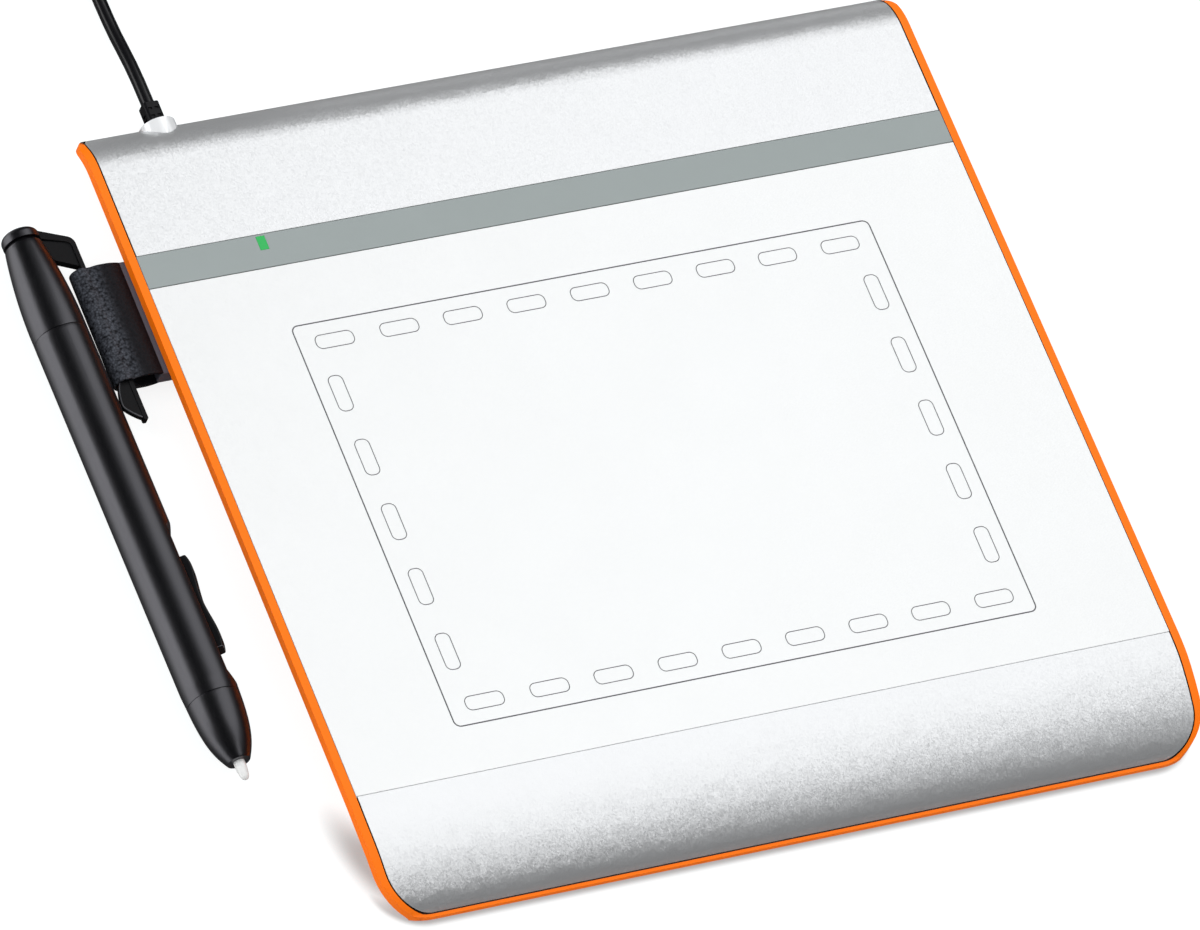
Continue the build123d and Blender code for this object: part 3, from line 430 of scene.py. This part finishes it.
def eased(name, width, body, material, wanted=None):
    """A copy of a CAD node in its place, with sharp edges rounded off. wanted(x, y, z) in
    millimetres from the printed area's middle gives each edge's share of the width."""
    shape = bmesh.new()
    shape.from_mesh(nodes[name].data)
    bmesh.ops.remove_doubles(shape, verts=shape.verts, dist=MERGE_DISTANCE)
    bmesh.ops.dissolve_limit(
        shape,
        angle_limit=FLAT_ANGLE,
        verts=shape.verts,
        edges=shape.edges,
        use_dissolve_boundaries=False,
    )
    weights = shape.edges.layers.float.new("bevel_weight_edge")
    for edge in shape.edges:
        if len(edge.link_faces) == 2 and edge.calc_face_angle() > SHARP_ANGLE:
            middle = ((edge.verts[0].co + edge.verts[1].co) / 2 - row_shift) / MM
            edge[weights] = wanted(*middle) if wanted else 1.0
            edge.smooth = edge[weights] > 0
    mesh = smooth_mesh(shape, name + "_eased")
    mesh.materials.append(material)
    piece = placed(name + "_eased", mesh)
    rounding = piece.modifiers.new("rounded_edges", "BEVEL")
    rounding.width = width
    rounding.segments = 2
    rounding.limit_method = "WEIGHT"
    rounding.use_clamp_overlap = True
    shading = piece.modifiers.new("even_shading", "WEIGHTED_NORMAL")
    shading.keep_sharp = True
    shading.weight = 90
    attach(piece, body)
    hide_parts(name)
    return piece


cord_jacket = moulded("cord_jacket", (0.005, 0.005, 0.006), 0.26, grain=1500.0)
lead_curve.materials.append(cord_jacket)


# The tie round the coil: a woven strap of 6 mm that hugs the four layers and is
# closed on itself over the top, where its end stands up a little as a tab.
TIE_LOW, TIE_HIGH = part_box("cord_tie")
TIE_THICK = 0.6 * MM
TIE_ROUND = 2.0 * MM
TIE_CORNER_STEPS = 6


def tie_line():
    """Points on the strap's middle line in the X-Z plane, once round and on over the top."""
    inset = TIE_THICK / 2
    x0, x1 = TIE_LOW.x + inset, TIE_HIGH.x - inset
    z0, z1 = TIE_LOW.z + inset, TIE_HIGH.z - inset
    middle_x = (x0 + x1) / 2
    points = [(middle_x - 3.0 * MM, z1)]
    corners = ((x0, z1, 90), (x0, z0, 180), (x1, z0, 270), (x1, z1, 0))
    for x, z, start in corners:
        centre_x = x + TIE_ROUND if x == x0 else x - TIE_ROUND
        centre_z = z + TIE_ROUND if z == z0 else z - TIE_ROUND
        for count in range(TIE_CORNER_STEPS + 1):
            angle = math.radians(start + 90 / TIE_CORNER_STEPS * count)
            away_x, away_z = TIE_ROUND * math.cos(angle), TIE_ROUND * math.sin(angle)
            points.append((centre_x + away_x, centre_z + away_z))
    overlap = ((3.0, 0.0), (1.0, 0.1), (-1.0, 0.66), (-4.5, 0.72), (-5.6, 1.0))
    return points + [(middle_x + x * MM, z1 + z * MM) for x, z in overlap]


def skinned(shape, rings):
    """Faces between each ring of points and the next."""
    for before, after in zip(rings, rings[1:]):
        for index in range(len(before)):
            follower = (index + 1) % len(before)
            shape.faces.new((before[index], before[follower], after[follower], after[index]))


def strap_mesh(line, y0, y1, thick):
    """A flat strap that follows a line, with a raised weave line near each edge."""
    hem, groove = 0.1 * (y1 - y0), 0.13 * (y1 - y0)
    across = [(y0, 0.0), (y0, 1.0), (y0 + hem, 1.0), (y0 + groove, 0.8)]
    across += [(y1 - groove, 0.8), (y1 - hem, 1.0), (y1, 1.0), (y1, 0.0)]
    shape = bmesh.new()
    rings = []
    for index, (x, z) in enumerate(line):
        xa, za = line[max(index - 1, 0)]
        xb, zb = line[min(index + 1, len(line) - 1)]
        along = Vector((xb - xa, 0, zb - za)).normalized()
        outward = Vector((along.z, 0, -along.x))
        base = Vector((x, 0, z)) - outward * thick / 2
        spots = [base + outward * thick * share + Vector((0, y, 0)) for y, share in across]
        rings.append([shape.verts.new(spot) for spot in spots])
    skinned(shape, rings)
    shape.faces.new(rings[0])
    shape.faces.new(rings[-1][::-1])
    bmesh.ops.recalc_face_normals(shape, faces=shape.faces)
    return smooth_mesh(shape, "coil_tie")


def rounded(piece, width, degrees):
    """A bevel on the piece's edges that are sharper than the given angle."""
    bevel = piece.modifiers.new("rounded_edges", "BEVEL")
    bevel.width = width
    bevel.segments = 2
    bevel.limit_method = "ANGLE"
    bevel.angle_limit = math.radians(degrees)
    return bevel


tie = placed("coil_tie", strap_mesh(tie_line(), TIE_LOW.y, TIE_HIGH.y, TIE_THICK))
rounded(tie, 0.12 * MM, 60).harden_normals = True
tie_weave = moulded("tie_weave", (0.018, 0.018, 0.02), 0.75, grain=1400.0, depth=0.08 * MM)
tie.data.materials.append(tie_weave)
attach(tie, "case")
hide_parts("cord_tie")


# The lower tray, orange plastic moulded in one piece. Its rim shows all round the
# silver cover, and its flat underside carries the feet and the case screws. An
# outline is its half width, front edge and corner radius, in millimetres.
TRAY_OUTLINE = (99.5, -89.3, 11.5)
REBATE_OUTLINE = (97.65, -88.6, 9.5)
TAPER_START = -68.0
TAPER = math.radians(3.5)
BACK_WALL_Y = 107.8
AT_OUTLINE = 0.2
REBATE_SLACK = 0.05
UNDERSIDE_Z = 1.6
REBATE_FLOOR_Z = 2.0
DOWNWARD = -0.5


def inside_by(x, y, half, front, radius):
    """How far a point lies inside an outline of the case's form, seen from above. The
    sides narrow beside the front roll and turn into the front edge with a radius."""
    centre_y = front + radius
    centre_x = half - (TAPER_START - centre_y) * math.tan(TAPER) - radius / math.cos(TAPER)
    if abs(x) > centre_x and y < centre_y:
        return radius - math.hypot(abs(x) - centre_x, y - centre_y)
    side = half - max(TAPER_START - y, 0) * math.tan(TAPER) - abs(x)
    return min(side, y - front)


def tray_rim(x, y, z):
    """The rim's outer and inner edges, above the underside."""
    outside = inside_by(x, y, *TRAY_OUTLINE) < AT_OUTLINE or y > BACK_WALL_Y
    inside = abs(inside_by(x, y, *REBATE_OUTLINE)) < AT_OUTLINE
    if outside and z > UNDERSIDE_Z:
        return 1.0
    return 0.5 if inside and z > REBATE_FLOOR_Z else 0.0


tray_plastic = moulded(
    "tray_plastic", (0.98, 0.178, 0.002), 0.42, grain=3000.0, mottle=0.02, Specular_IOR_Level=0.15
)
tray = eased("base_tray", 0.35 * MM, "case", tray_plastic, tray_rim)

# The rebate and the inside are painted dark brown, a painted shade for the dark below the cover.
tray.data.materials.append(moulded("tray_rebate_painted_shade", (0.03, 0.008, 0.002), 0.7))
for face in tray.data.polygons:
    x, y, z = (face.center - row_shift) / MM
    within = inside_by(x, y, *REBATE_OUTLINE) > -REBATE_SLACK and y < BACK_WALL_Y
    if within and face.normal.z > DOWNWARD:
        face.material_index = 1


# Four moulded rubber feet and the six steel screws that hold the case together.
foot_rubber = moulded("foot_rubber", (0.02, 0.02, 0.022), 0.75, grain=1800.0)
dress(foot_rubber, "rubber_feet")
zinc_steel = moulded("zinc_steel", (0.55, 0.56, 0.58), 0.35, grain=900.0, Metallic=1.0)
dress(zinc_steel, "case_screws", "board_screws", "clamp_screws")
dress(zinc_steel, "shield_plate", "battery_contact", "battery_spring")


# The boards inside: the antenna board over its steel shield, its ribbon cable, and
# the controller board with its chip, lamp, connector and the end of the lead.
board_lacquer = moulded("board_lacquer", (0.01, 0.09, 0.03), 0.3, grain=700.0)
dress(board_lacquer, "sensor_board", "controller_board", "pen_board")
chip_resin = moulded("chip_resin", (0.012, 0.012, 0.013), 0.5)
dress(chip_resin, "controller_chip", "push_switches", "pressure_sensor")
nylon = moulded("nylon", (0.72, 0.69, 0.6), 0.45)
dress(nylon, "flat_cable_connector", "lead_header", "sensor_flat_cable", "plug_tongue")
relief_rubber = moulded(
    "relief_rubber", (0.004, 0.004, 0.005), 0.4, grain=1800.0, Specular_IOR_Level=0.25
)
eased("strain_relief", 0.14 * MM, "case", relief_rubber)
dress(cord_jacket, "internal_lead")


# The top cover, one moulding painted metallic silver. Its front and back edges roll
# down into the tray, and the paint's flakes glint where the surface turns.
FLAKE_SCALE = 3300.0
MIDDLE_COLOUR = (0.5, 0.5, 0.5)
PATCH_SHADE = 0.97


def silver_paint(name, colour, flake_tilt):
    """Metallic paint whose flakes each turn the surface a little their own way."""
    material, output, place = bare_material(name)
    paint = wired(material, "ShaderNodeBsdfPrincipled", Metallic=0.75, Roughness=0.36)
    flakes = wired(material, "ShaderNodeTexVoronoi", Scale=FLAKE_SCALE)
    around = maths(material, "ShaderNodeVectorMath", "SUBTRACT")
    around.inputs[1].default_value = MIDDLE_COLOUR
    tilt = maths(material, "ShaderNodeVectorMath", "SCALE")
    tilt.inputs["Scale"].default_value = flake_tilt
    facing_way = wired(material, "ShaderNodeNewGeometry")
    turned = maths(material, "ShaderNodeVectorMath", "ADD")
    unit = maths(material, "ShaderNodeVectorMath", "NORMALIZE")
    patches = wired(material, "ShaderNodeTexNoise", Scale=60.0, Detail=3.0)
    shade = colour_mix(material, [c * PATCH_SHADE for c in colour], colour)
    join(material, place, "Object", flakes, "Vector")
    join(material, place, "Object", patches, "Vector")
    join(material, flakes, "Color", around, 0)
    join(material, around, "Vector", tilt, 0)
    join(material, facing_way, "Normal", turned, 0)
    join(material, tilt, "Vector", turned, 1)
    join(material, turned, "Vector", unit, 0)
    join(material, unit, "Vector", paint, "Normal")
    join(material, patches, "Fac", shade, "Factor")
    material.node_tree.links.new(shade.outputs[2], paint.inputs["Base Color"])
    join(material, paint, "BSDF", output, "Surface")
    return material


COVER_OUTLINE = (97.35, -88.3, 9.2)
COVER_EDGE = 0.15
COVER_SIDE = 0.1
COVER_TOP_Z = 10.9
UPRIGHT = 0.1
OUTLET_MOUTH_HALF = 4.5
OUTLET_MOUTH_Y = 100


def cover_rim(x, y, z):
    """The cover's outer edges, and more lightly the edges round the sheet and the outlet."""
    if inside_by(x, y, *COVER_OUTLINE) < COVER_EDGE or y > BACK_WALL_Y:
        return 1.0
    beside_outlet = abs(x - LEAD_X / MM) < OUTLET_MOUTH_HALF and y > OUTLET_MOUTH_Y
    return 0.5 if z > COVER_TOP_Z or beside_outlet else 0.0


cover_paint = silver_paint("cover_paint", (0.86, 0.87, 0.88), 0.11)
cover = eased("top_cover", 0.3 * MM, "case", cover_paint, cover_rim)
cover_side_painted_shade = moulded("cover_side_painted_shade", (0.012, 0.010, 0.010), 0.7)
outlet_silver_painted_highlight = moulded("outlet_silver_painted_highlight", (0.93, 0.94, 0.95), 0.26, mottle=0.01, Metallic=0.3)
cover.data.materials.append(cover_side_painted_shade)
cover.data.materials.append(outlet_silver_painted_highlight)

# The half-round outlet stands out of the back roll and is smoother than the rest; its whiter
# silver is a painted highlight. The upright sides, down in the tray's rebate, are painted near
# black as painted shade.
BACK_ROLL_Y, BACK_ROLL_Z, BACK_ROLL_RADIUS = 97.9, -0.75, 11.7
OUTLET_HALF = 9.0
OUTLET_START_Y = 101
OUTLET_PROUD = 0.2
for face in cover.data.polygons:
    x, y, z = (face.center - row_shift) / MM
    above_roll = math.hypot(y - BACK_ROLL_Y, z - BACK_ROLL_Z) - BACK_ROLL_RADIUS
    near_lead = abs(x - LEAD_X / MM) < OUTLET_HALF and y > OUTLET_START_Y
    if near_lead and above_roll > OUTLET_PROUD:
        face.material_index = 2
    elif abs(face.normal.z) < UPRIGHT and inside_by(x, y, *COVER_OUTLINE) < COVER_SIDE:
        face.material_index = 1


# The drawing sheet, a loose satin film that lifts at the strip, and the fixed grey
# strip behind it with the green lens of the lamp.
dress(silver_paint("sheet_film", (0.88, 0.89, 0.89), 0.06), "overlay_sheet")
strip_film = moulded("strip_film", (0.285, 0.32, 0.316), 0.5, grain=2000.0)
dress(strip_film, "overlay_strip")
lens_glow = (0.003, 0.30, 0.05, 1)
lens_plastic = moulded(
    "lens_plastic", (0.004, 0.26, 0.05), 0.3, Emission_Color=lens_glow, Emission_Strength=0.55
)
dress(lens_plastic, "led_light_pipe", "status_led")


# The printing on the sheet: the working area's frame and the outlines of the quick
# keys round its inside, in thin dark ink.
AREA = (139.7 * MM, 101.6 * MM)
AREA_CORNER = 1.5 * MM
AREA_LINE = 0.3 * MM
INK_THICK = 0.01 * MM
SHEET_TOP_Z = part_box("overlay_sheet")[1].z


def outline_tree():
    """Thin printed outlines of rounded rectangles, one at each point of the mesh."""
    tree = bpy.data.node_groups.new("printed_outlines", "GeometryNodeTree")
    tree.interface.new_socket("Geometry", in_out="INPUT", socket_type="NodeSocketGeometry")
    for name in ("Width", "Height", "Corner", "Line"):
        tree.interface.new_socket(name, in_out="INPUT", socket_type="NodeSocketFloat")
    tree.interface.new_socket("Ink", in_out="INPUT", socket_type="NodeSocketMaterial")
    tree.interface.new_socket("Geometry", in_out="OUTPUT", socket_type="NodeSocketGeometry")
    make = tree.nodes.new
    link = tree.links.new
    inputs = make("NodeGroupInput")
    outputs = make("NodeGroupOutput")
    box = make("GeometryNodeCurvePrimitiveQuadrilateral")
    link(inputs.outputs["Width"], box.inputs["Width"])
    link(inputs.outputs["Height"], box.inputs["Height"])
    corners = make("GeometryNodeFilletCurve")
    corners.mode = "POLY"
    corners.inputs["Count"].default_value = 6
    link(box.outputs["Curve"], corners.inputs["Curve"])
    link(inputs.outputs["Corner"], corners.inputs["Radius"])
    level = make("GeometryNodeSetCurveNormal")
    level.mode = "Z_UP"
    link(corners.outputs["Curve"], level.inputs["Curve"])
    section = make("GeometryNodeCurvePrimitiveQuadrilateral")
    link(inputs.outputs["Line"], section.inputs["Width"])
    section.inputs["Height"].default_value = INK_THICK
    sweep = make("GeometryNodeCurveToMesh")
    link(level.outputs["Curve"], sweep.inputs["Curve"])
    link(section.outputs["Curve"], sweep.inputs["Profile Curve"])
    spread = make("GeometryNodeInstanceOnPoints")
    link(inputs.outputs["Geometry"], spread.inputs["Points"])
    link(sweep.outputs["Mesh"], spread.inputs["Instance"])
    real = make("GeometryNodeRealizeInstances")
    link(spread.outputs["Instances"], real.inputs["Geometry"])
    paint = make("GeometryNodeSetMaterial")
    link(real.outputs["Geometry"], paint.inputs["Geometry"])
    link(inputs.outputs["Ink"], paint.inputs["Material"])
    link(paint.outputs["Geometry"], outputs.inputs["Geometry"])
    return tree


def printed(name, tree, places, size, corner, line, ink):
    """Outlines of one size at the given places, made into a plain mesh."""
    ink_z = SHEET_TOP_Z + INK_THICK / 2
    seeds = bpy.data.meshes.new(name)
    seeds.from_pydata([(x + ROW_X, y + ROW_Y, ink_z) for x, y in places], [], [])
    piece = placed(name, seeds)
    maker = piece.modifiers.new("outlines", "NODES")
    maker.node_group = tree
    values = {"Width": size[0], "Height": size[1], "Corner": corner, "Line": line, "Ink": ink}
    for socket in tree.interface.items_tree:
        if socket.in_out == "INPUT" and socket.name in values:
            maker[socket.identifier] = values[socket.name]
    bpy.context.view_layer.update()
    seen = piece.evaluated_get(bpy.context.evaluated_depsgraph_get())
    mesh = bpy.data.meshes.new_from_object(seen)
    mesh.materials.clear()
    mesh.materials.append(ink)
    mesh.polygons.foreach_set("material_index", [0] * len(mesh.polygons))
    piece.modifiers.clear()
    piece.data = mesh
    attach(piece, "sheet")


ink = moulded("dark_ink", (0.10, 0.10, 0.11), 0.6)
outlines = outline_tree()
printed("area_frame", outlines, [(0, 0)], AREA, AREA_CORNER, AREA_LINE, ink)

KEY_ROW_Y = 45.9 * MM
KEY_COLUMN_X = 64.8 * MM
KEYS_ALONG = (-61.2, -45.8, -30.6, -15.3, 0, 15.3, 30.6, 45.8, 61.2)
KEYS_UP = (-32.8, -16.45, 0, 16.45, 32.8)
row_places = [(x * MM, side * KEY_ROW_Y) for x in KEYS_ALONG for side in (-1, 1)]
column_places = [(side * KEY_COLUMN_X, y * MM) for y in KEYS_UP for side in (-1, 1)]
KEY_SIZE = (9.0 * MM, 3.4 * MM)
KEY_CORNER = 1.4 * MM
KEY_LINE = 0.2 * MM
printed("key_row_outlines", outlines, row_places, KEY_SIZE, KEY_CORNER, KEY_LINE, ink)
printed("key_column_outlines", outlines, column_places, KEY_SIZE[::-1], KEY_CORNER, KEY_LINE, ink)


# The pen: a satin black barrel, sleeve and nose, the clip of the same plastic, a grey
# rocker switch and the white nib, with the cell and the coil inside.
pen_satin = moulded(
    "pen_satin",
    (0.0012, 0.0012, 0.0016),
    0.33,
    grain=2200.0,
    IOR=1.6,
    Specular_IOR_Level=0.88,
    Specular_Tint=(0.93, 0.92, 1.0, 1),
)
PEN_X = -118.1 * MM
PEN_Z = 6.15 * MM
PEN_YAW = math.radians(0.73)
pen_middle = Matrix.Translation((PEN_X + ROW_X, ROW_Y, PEN_Z))
pen_frame = pen_middle @ Matrix.Rotation(PEN_YAW, 4, "Z")
PEN_EDGE = 0.16 * MM
CAP_SEAM_Y = 60.9
NOSE_SEAM_Y = -31.2
AT_SEAM = 0.25


def pen_seams(x, y, z):
    """The two joins across the pen, and more lightly the rocker's opening and the scoop."""
    at_seam = abs(y - CAP_SEAM_Y) < AT_SEAM or abs(y - NOSE_SEAM_Y) < AT_SEAM
    return 1.0 if at_seam else 0.5


eased("cap_sleeve", PEN_EDGE, "pen_cap", pen_satin, pen_seams)
eased("pen_barrel", PEN_EDGE, "pen_barrel", pen_satin, pen_seams)
eased("nose_cone", PEN_EDGE, "pen_barrel", pen_satin, pen_seams)

# The clip is matt, its edges painted lighter as a painted highlight, and its crown is satin as the
# pen is.
CROWN_RADIUS = 4.4 * MM
clip_matt = moulded("clip_matt", (0.005, 0.005, 0.006), 0.62, Specular_IOR_Level=0.25)
clip_edge_painted_highlight = moulded("clip_edge_painted_highlight", (0.085, 0.085, 0.095), 0.35)
clip = eased("clip_crown", 0.2 * MM, "pen_cap", clip_matt)
clip.data.materials.append(clip_edge_painted_highlight)
clip.data.materials.append(pen_satin)
clip.modifiers["rounded_edges"].material = 1
to_pen = pen_frame.inverted()
for face in clip.data.polygons:
    if (to_pen @ face.center).xz.length < CROWN_RADIUS:
        face.material_index = 2


def fin_mesh(outline, half_thick):
    """A flat fin with the given outline in the pen's own X-Y plane."""
    shape = bmesh.new()
    layers = []
    for z in (-half_thick, half_thick):
        spots = [pen_frame @ Vector((x * MM, y * MM, z)) for x, y in outline]
        layers.append([shape.verts.new(spot) for spot in spots])
    low, high = layers
    shape.faces.new(low)
    shape.faces.new(high[::-1])
    skinned(shape, (high, low))
    bmesh.ops.recalc_face_normals(shape, faces=shape.faces)
    return smooth_mesh(shape, "clip_fin")


CLIP_FIN = [
    (10.4, 51.5), (9.5, 49.6), (8.75, 48.2), (8.15, 47.1), (7.6, 45.9), (7.22, 44.6),
    (6.95, 43.2), (6.83, 42.2), (6.88, 41.5), (7.1, 40.95), (7.6, 40.3), (8.4, 39.45),
    (9.4, 38.55), (10.1, 38.05), (10.6, 38.0), (10.6, 42.0), (10.6, 47.0),
]
CLIP_FIN_HALF = 0.75 * MM
fin = placed("clip_fin", fin_mesh(CLIP_FIN, CLIP_FIN_HALF))
fin.data.materials.append(clip_matt)
# The fin's rounded edges take the same painted highlight.
fin.data.materials.append(clip_edge_painted_highlight)
fin_edges = rounded(fin, 0.22 * MM, 50)
fin_edges.harden_normals = True
fin_edges.material = 1
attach(fin, "pen_cap")

# The rocker, its edges painted lighter as a painted highlight, the nib and what the barrel holds.
switch_plastic = moulded("switch_plastic", (0.004, 0.004, 0.005), 0.45, Specular_IOR_Level=0.3)
rocker = eased("side_switch", 0.22 * MM, "side_switch", switch_plastic)
rocker.data.materials.append(moulded("switch_edge_painted_highlight", (0.19, 0.19, 0.21), 0.4))
rocker.modifiers["rounded_edges"].material = 1
nib_plastic = moulded(
    "nib_plastic",
    (0.74, 0.74, 0.73),
    0.35,
    mottle=0.01,
    Subsurface_Weight=0.4,
    Subsurface_Radius=(0.002, 0.002, 0.002),
)
dress(nib_plastic, "pen_nib")
cell_metal = moulded("cell_metal", (0.55, 0.56, 0.58), 0.3, Metallic=1.0)
dress(cell_metal, "battery_cell", "plug_shell")
copper_wire = moulded("copper_wire", (0.55, 0.2, 0.08), 0.35, Metallic=1.0)
dress(copper_wire, "antenna_winding")
gold_plate = moulded("gold_plate", (0.75, 0.5, 0.15), 0.3, Metallic=1.0)
dress(gold_plate, "plug_contacts")
ferrite = moulded("ferrite", (0.03, 0.03, 0.032), 0.6)
dress(ferrite, "ferrite_core")
plug_plastic = moulded("plug_plastic", (0.014, 0.014, 0.016), 0.5)
dress(plug_plastic, "plug_overmould")


# The band that holds the pen's clip: a strip of grained black leathercloth folded
# back on itself round the clip, its two ends clamped in the tray's side by a bar.
BAND_WALL = 0.7 * MM
BAND_Y = (47.2 * MM, 75.7 * MM)
BAND_LEFT = -111.5 * MM
BAND_LOW, BAND_HIGH = 2.9 * MM, 8.6 * MM
BAND_BEND_X = -103.6 * MM
BAND_END_X = -100.2 * MM
BAND_END_Z = (3.75 * MM, 7.8 * MM)
VALLEY_X = -107.6 * MM
VALLEY_DEPTH = 0.5 * MM
VALLEY_WIDTH = 1.1 * MM
VALLEY_EASE = 0.25
BEND_STEPS, RUN_STEPS, FOLD_STEPS = 4, 9, 12
STEPS_ALONG = 18


def band_outline(share):
    """Points round the band's outer face at a share of its length, from bar to bar."""
    radius = (BAND_HIGH - BAND_LOW) / 2
    middle_z = (BAND_HIGH + BAND_LOW) / 2
    fold_x = BAND_LEFT + radius
    valley = VALLEY_DEPTH * (1 - VALLEY_EASE + VALLEY_EASE * math.cos(2 * math.pi * share))
    points = []
    for count in range(BEND_STEPS + 1):
        part = count / BEND_STEPS
        x = BAND_END_X + (BAND_BEND_X - BAND_END_X) * part
        z = BAND_END_Z[1] + (BAND_HIGH - BAND_END_Z[1]) * math.sin(part * math.pi / 2)
        points.append((x, z))
    for count in range(1, RUN_STEPS + 1):
        x = BAND_BEND_X + (fold_x - BAND_BEND_X) * count / RUN_STEPS
        dip = valley * math.exp(-((x - VALLEY_X) / VALLEY_WIDTH) ** 2)
        points.append((x, BAND_HIGH - dip))
    for count in range(1, FOLD_STEPS):
        angle = math.pi / 2 + math.pi * count / FOLD_STEPS
        points.append((fold_x + radius * math.cos(angle), middle_z + radius * math.sin(angle)))
    for count in range(RUN_STEPS + 1):
        points.append((fold_x + (BAND_BEND_X - fold_x) * count / RUN_STEPS, BAND_LOW))
    for count in range(1, BEND_STEPS + 1):
        part = count / BEND_STEPS
        x = BAND_BEND_X + (BAND_END_X - BAND_BEND_X) * part
        z = BAND_LOW + (BAND_END_Z[0] - BAND_LOW) * (1 - math.cos(part * math.pi / 2))
        points.append((x, z))
    return points


def band_mesh():
    """Outer and inner faces of the band with rounded cut edges, closed at the bar."""
    shape = bmesh.new()
    rings = []
    for count in range(STEPS_ALONG + 1):
        share = count / STEPS_ALONG
        outer = band_outline(share)
        inner = []
        for index, (x, z) in enumerate(outer):
            x0, z0 = outer[max(index - 1, 0)]
            x1, z1 = outer[min(index + 1, len(outer) - 1)]
            along = math.hypot(x1 - x0, z1 - z0)
            inner.append((x - (z1 - z0) / along * BAND_WALL, z + (x1 - x0) / along * BAND_WALL))
        y = BAND_Y[0] + (BAND_Y[1] - BAND_Y[0]) * share
        ring = outer + inner[::-1]
        rings.append([shape.verts.new((x + ROW_X, y + ROW_Y, z)) for x, z in ring])
    skinned(shape, rings)
    half = len(rings[0]) // 2
    for ring, flip in ((rings[0], False), (rings[-1], True)):
        for index in range(half - 1):
            corners = [ring[index], ring[index + 1], ring[-2 - index], ring[-1 - index]]
            shape.faces.new(corners if flip else corners[::-1])
    bmesh.ops.recalc_face_normals(shape, faces=shape.faces)
    return smooth_mesh(shape, "clip_band")


band = placed("clip_band", band_mesh())
rounded(band, 0.18 * MM, 50)
softening = band.modifiers.new("soft", "SUBSURF")
softening.levels = softening.render_levels = 1


# The band's ridges carry painted light and shade: lighter on the fold, darker towards the bar.
PAINTED_SHADE_FADE = (-107.9 * MM + ROW_X, -104.2 * MM + ROW_X)
PAINTED_SHADE_LEVEL = 0.06
CELL_WEIGHT = -0.55


def grained_cloth(name, pit, ridge, roughness):
    """Coated cloth: a leather grain of small dark pits between lighter ridges. The ridges
    are painted light on the fold and painted dark towards the bar, as painted light and shade."""
    material, output, place = bare_material(name)
    skin = wired(material, "ShaderNodeBsdfPrincipled", Roughness=roughness, Specular_IOR_Level=0.16)
    cells = wired(material, "ShaderNodeTexVoronoi", Scale=1900.0)
    cloud = wired(material, "ShaderNodeTexNoise", Scale=1300.0, Detail=4.0)
    mixed = maths(material, "ShaderNodeMath", "MULTIPLY_ADD")
    mixed.inputs[1].default_value = CELL_WEIGHT
    shade = colour_mix(material, pit, ridge)
    spread = wired(material, "ShaderNodeMapRange", From_Min=-0.05, From_Max=0.5)
    across = wired(material, "ShaderNodeSeparateXYZ")
    painted_shade = fade(material, PAINTED_SHADE_FADE, 1.0, PAINTED_SHADE_LEVEL)
    lighter = maths(material, "ShaderNodeMath", "MULTIPLY")
    bump = wired(material, "ShaderNodeBump", Strength=0.8, Distance=0.12 * MM)
    join(material, place, "Object", cells, "Vector")
    join(material, place, "Object", cloud, "Vector")
    join(material, cells, "Distance", mixed, 0)
    join(material, cloud, "Fac", mixed, 2)
    join(material, mixed, "Value", spread, "Value")
    join(material, place, "Object", across, "Vector")
    join(material, across, "X", painted_shade, "Value")
    join(material, spread, "Result", lighter, 0)
    join(material, painted_shade, "Result", lighter, 1)
    join(material, lighter, "Value", shade, "Factor")
    join(material, spread, "Result", bump, "Height")
    join(material, bump, "Normal", skin, "Normal")
    material.node_tree.links.new(shade.outputs[2], skin.inputs["Base Color"])
    join(material, skin, "BSDF", output, "Surface")
    return material


band_leather = grained_cloth("band_leather", (0.004, 0.004, 0.006), (0.072, 0.078, 0.094), 0.5)
band.data.materials.append(band_leather)
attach(band, "case")
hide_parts("holder_loop")
bar_plastic = moulded("bar_plastic", (0.11, 0.115, 0.145), 0.5)
dress(bar_plastic, "holder_bar")


bpy.context.view_layer.update()
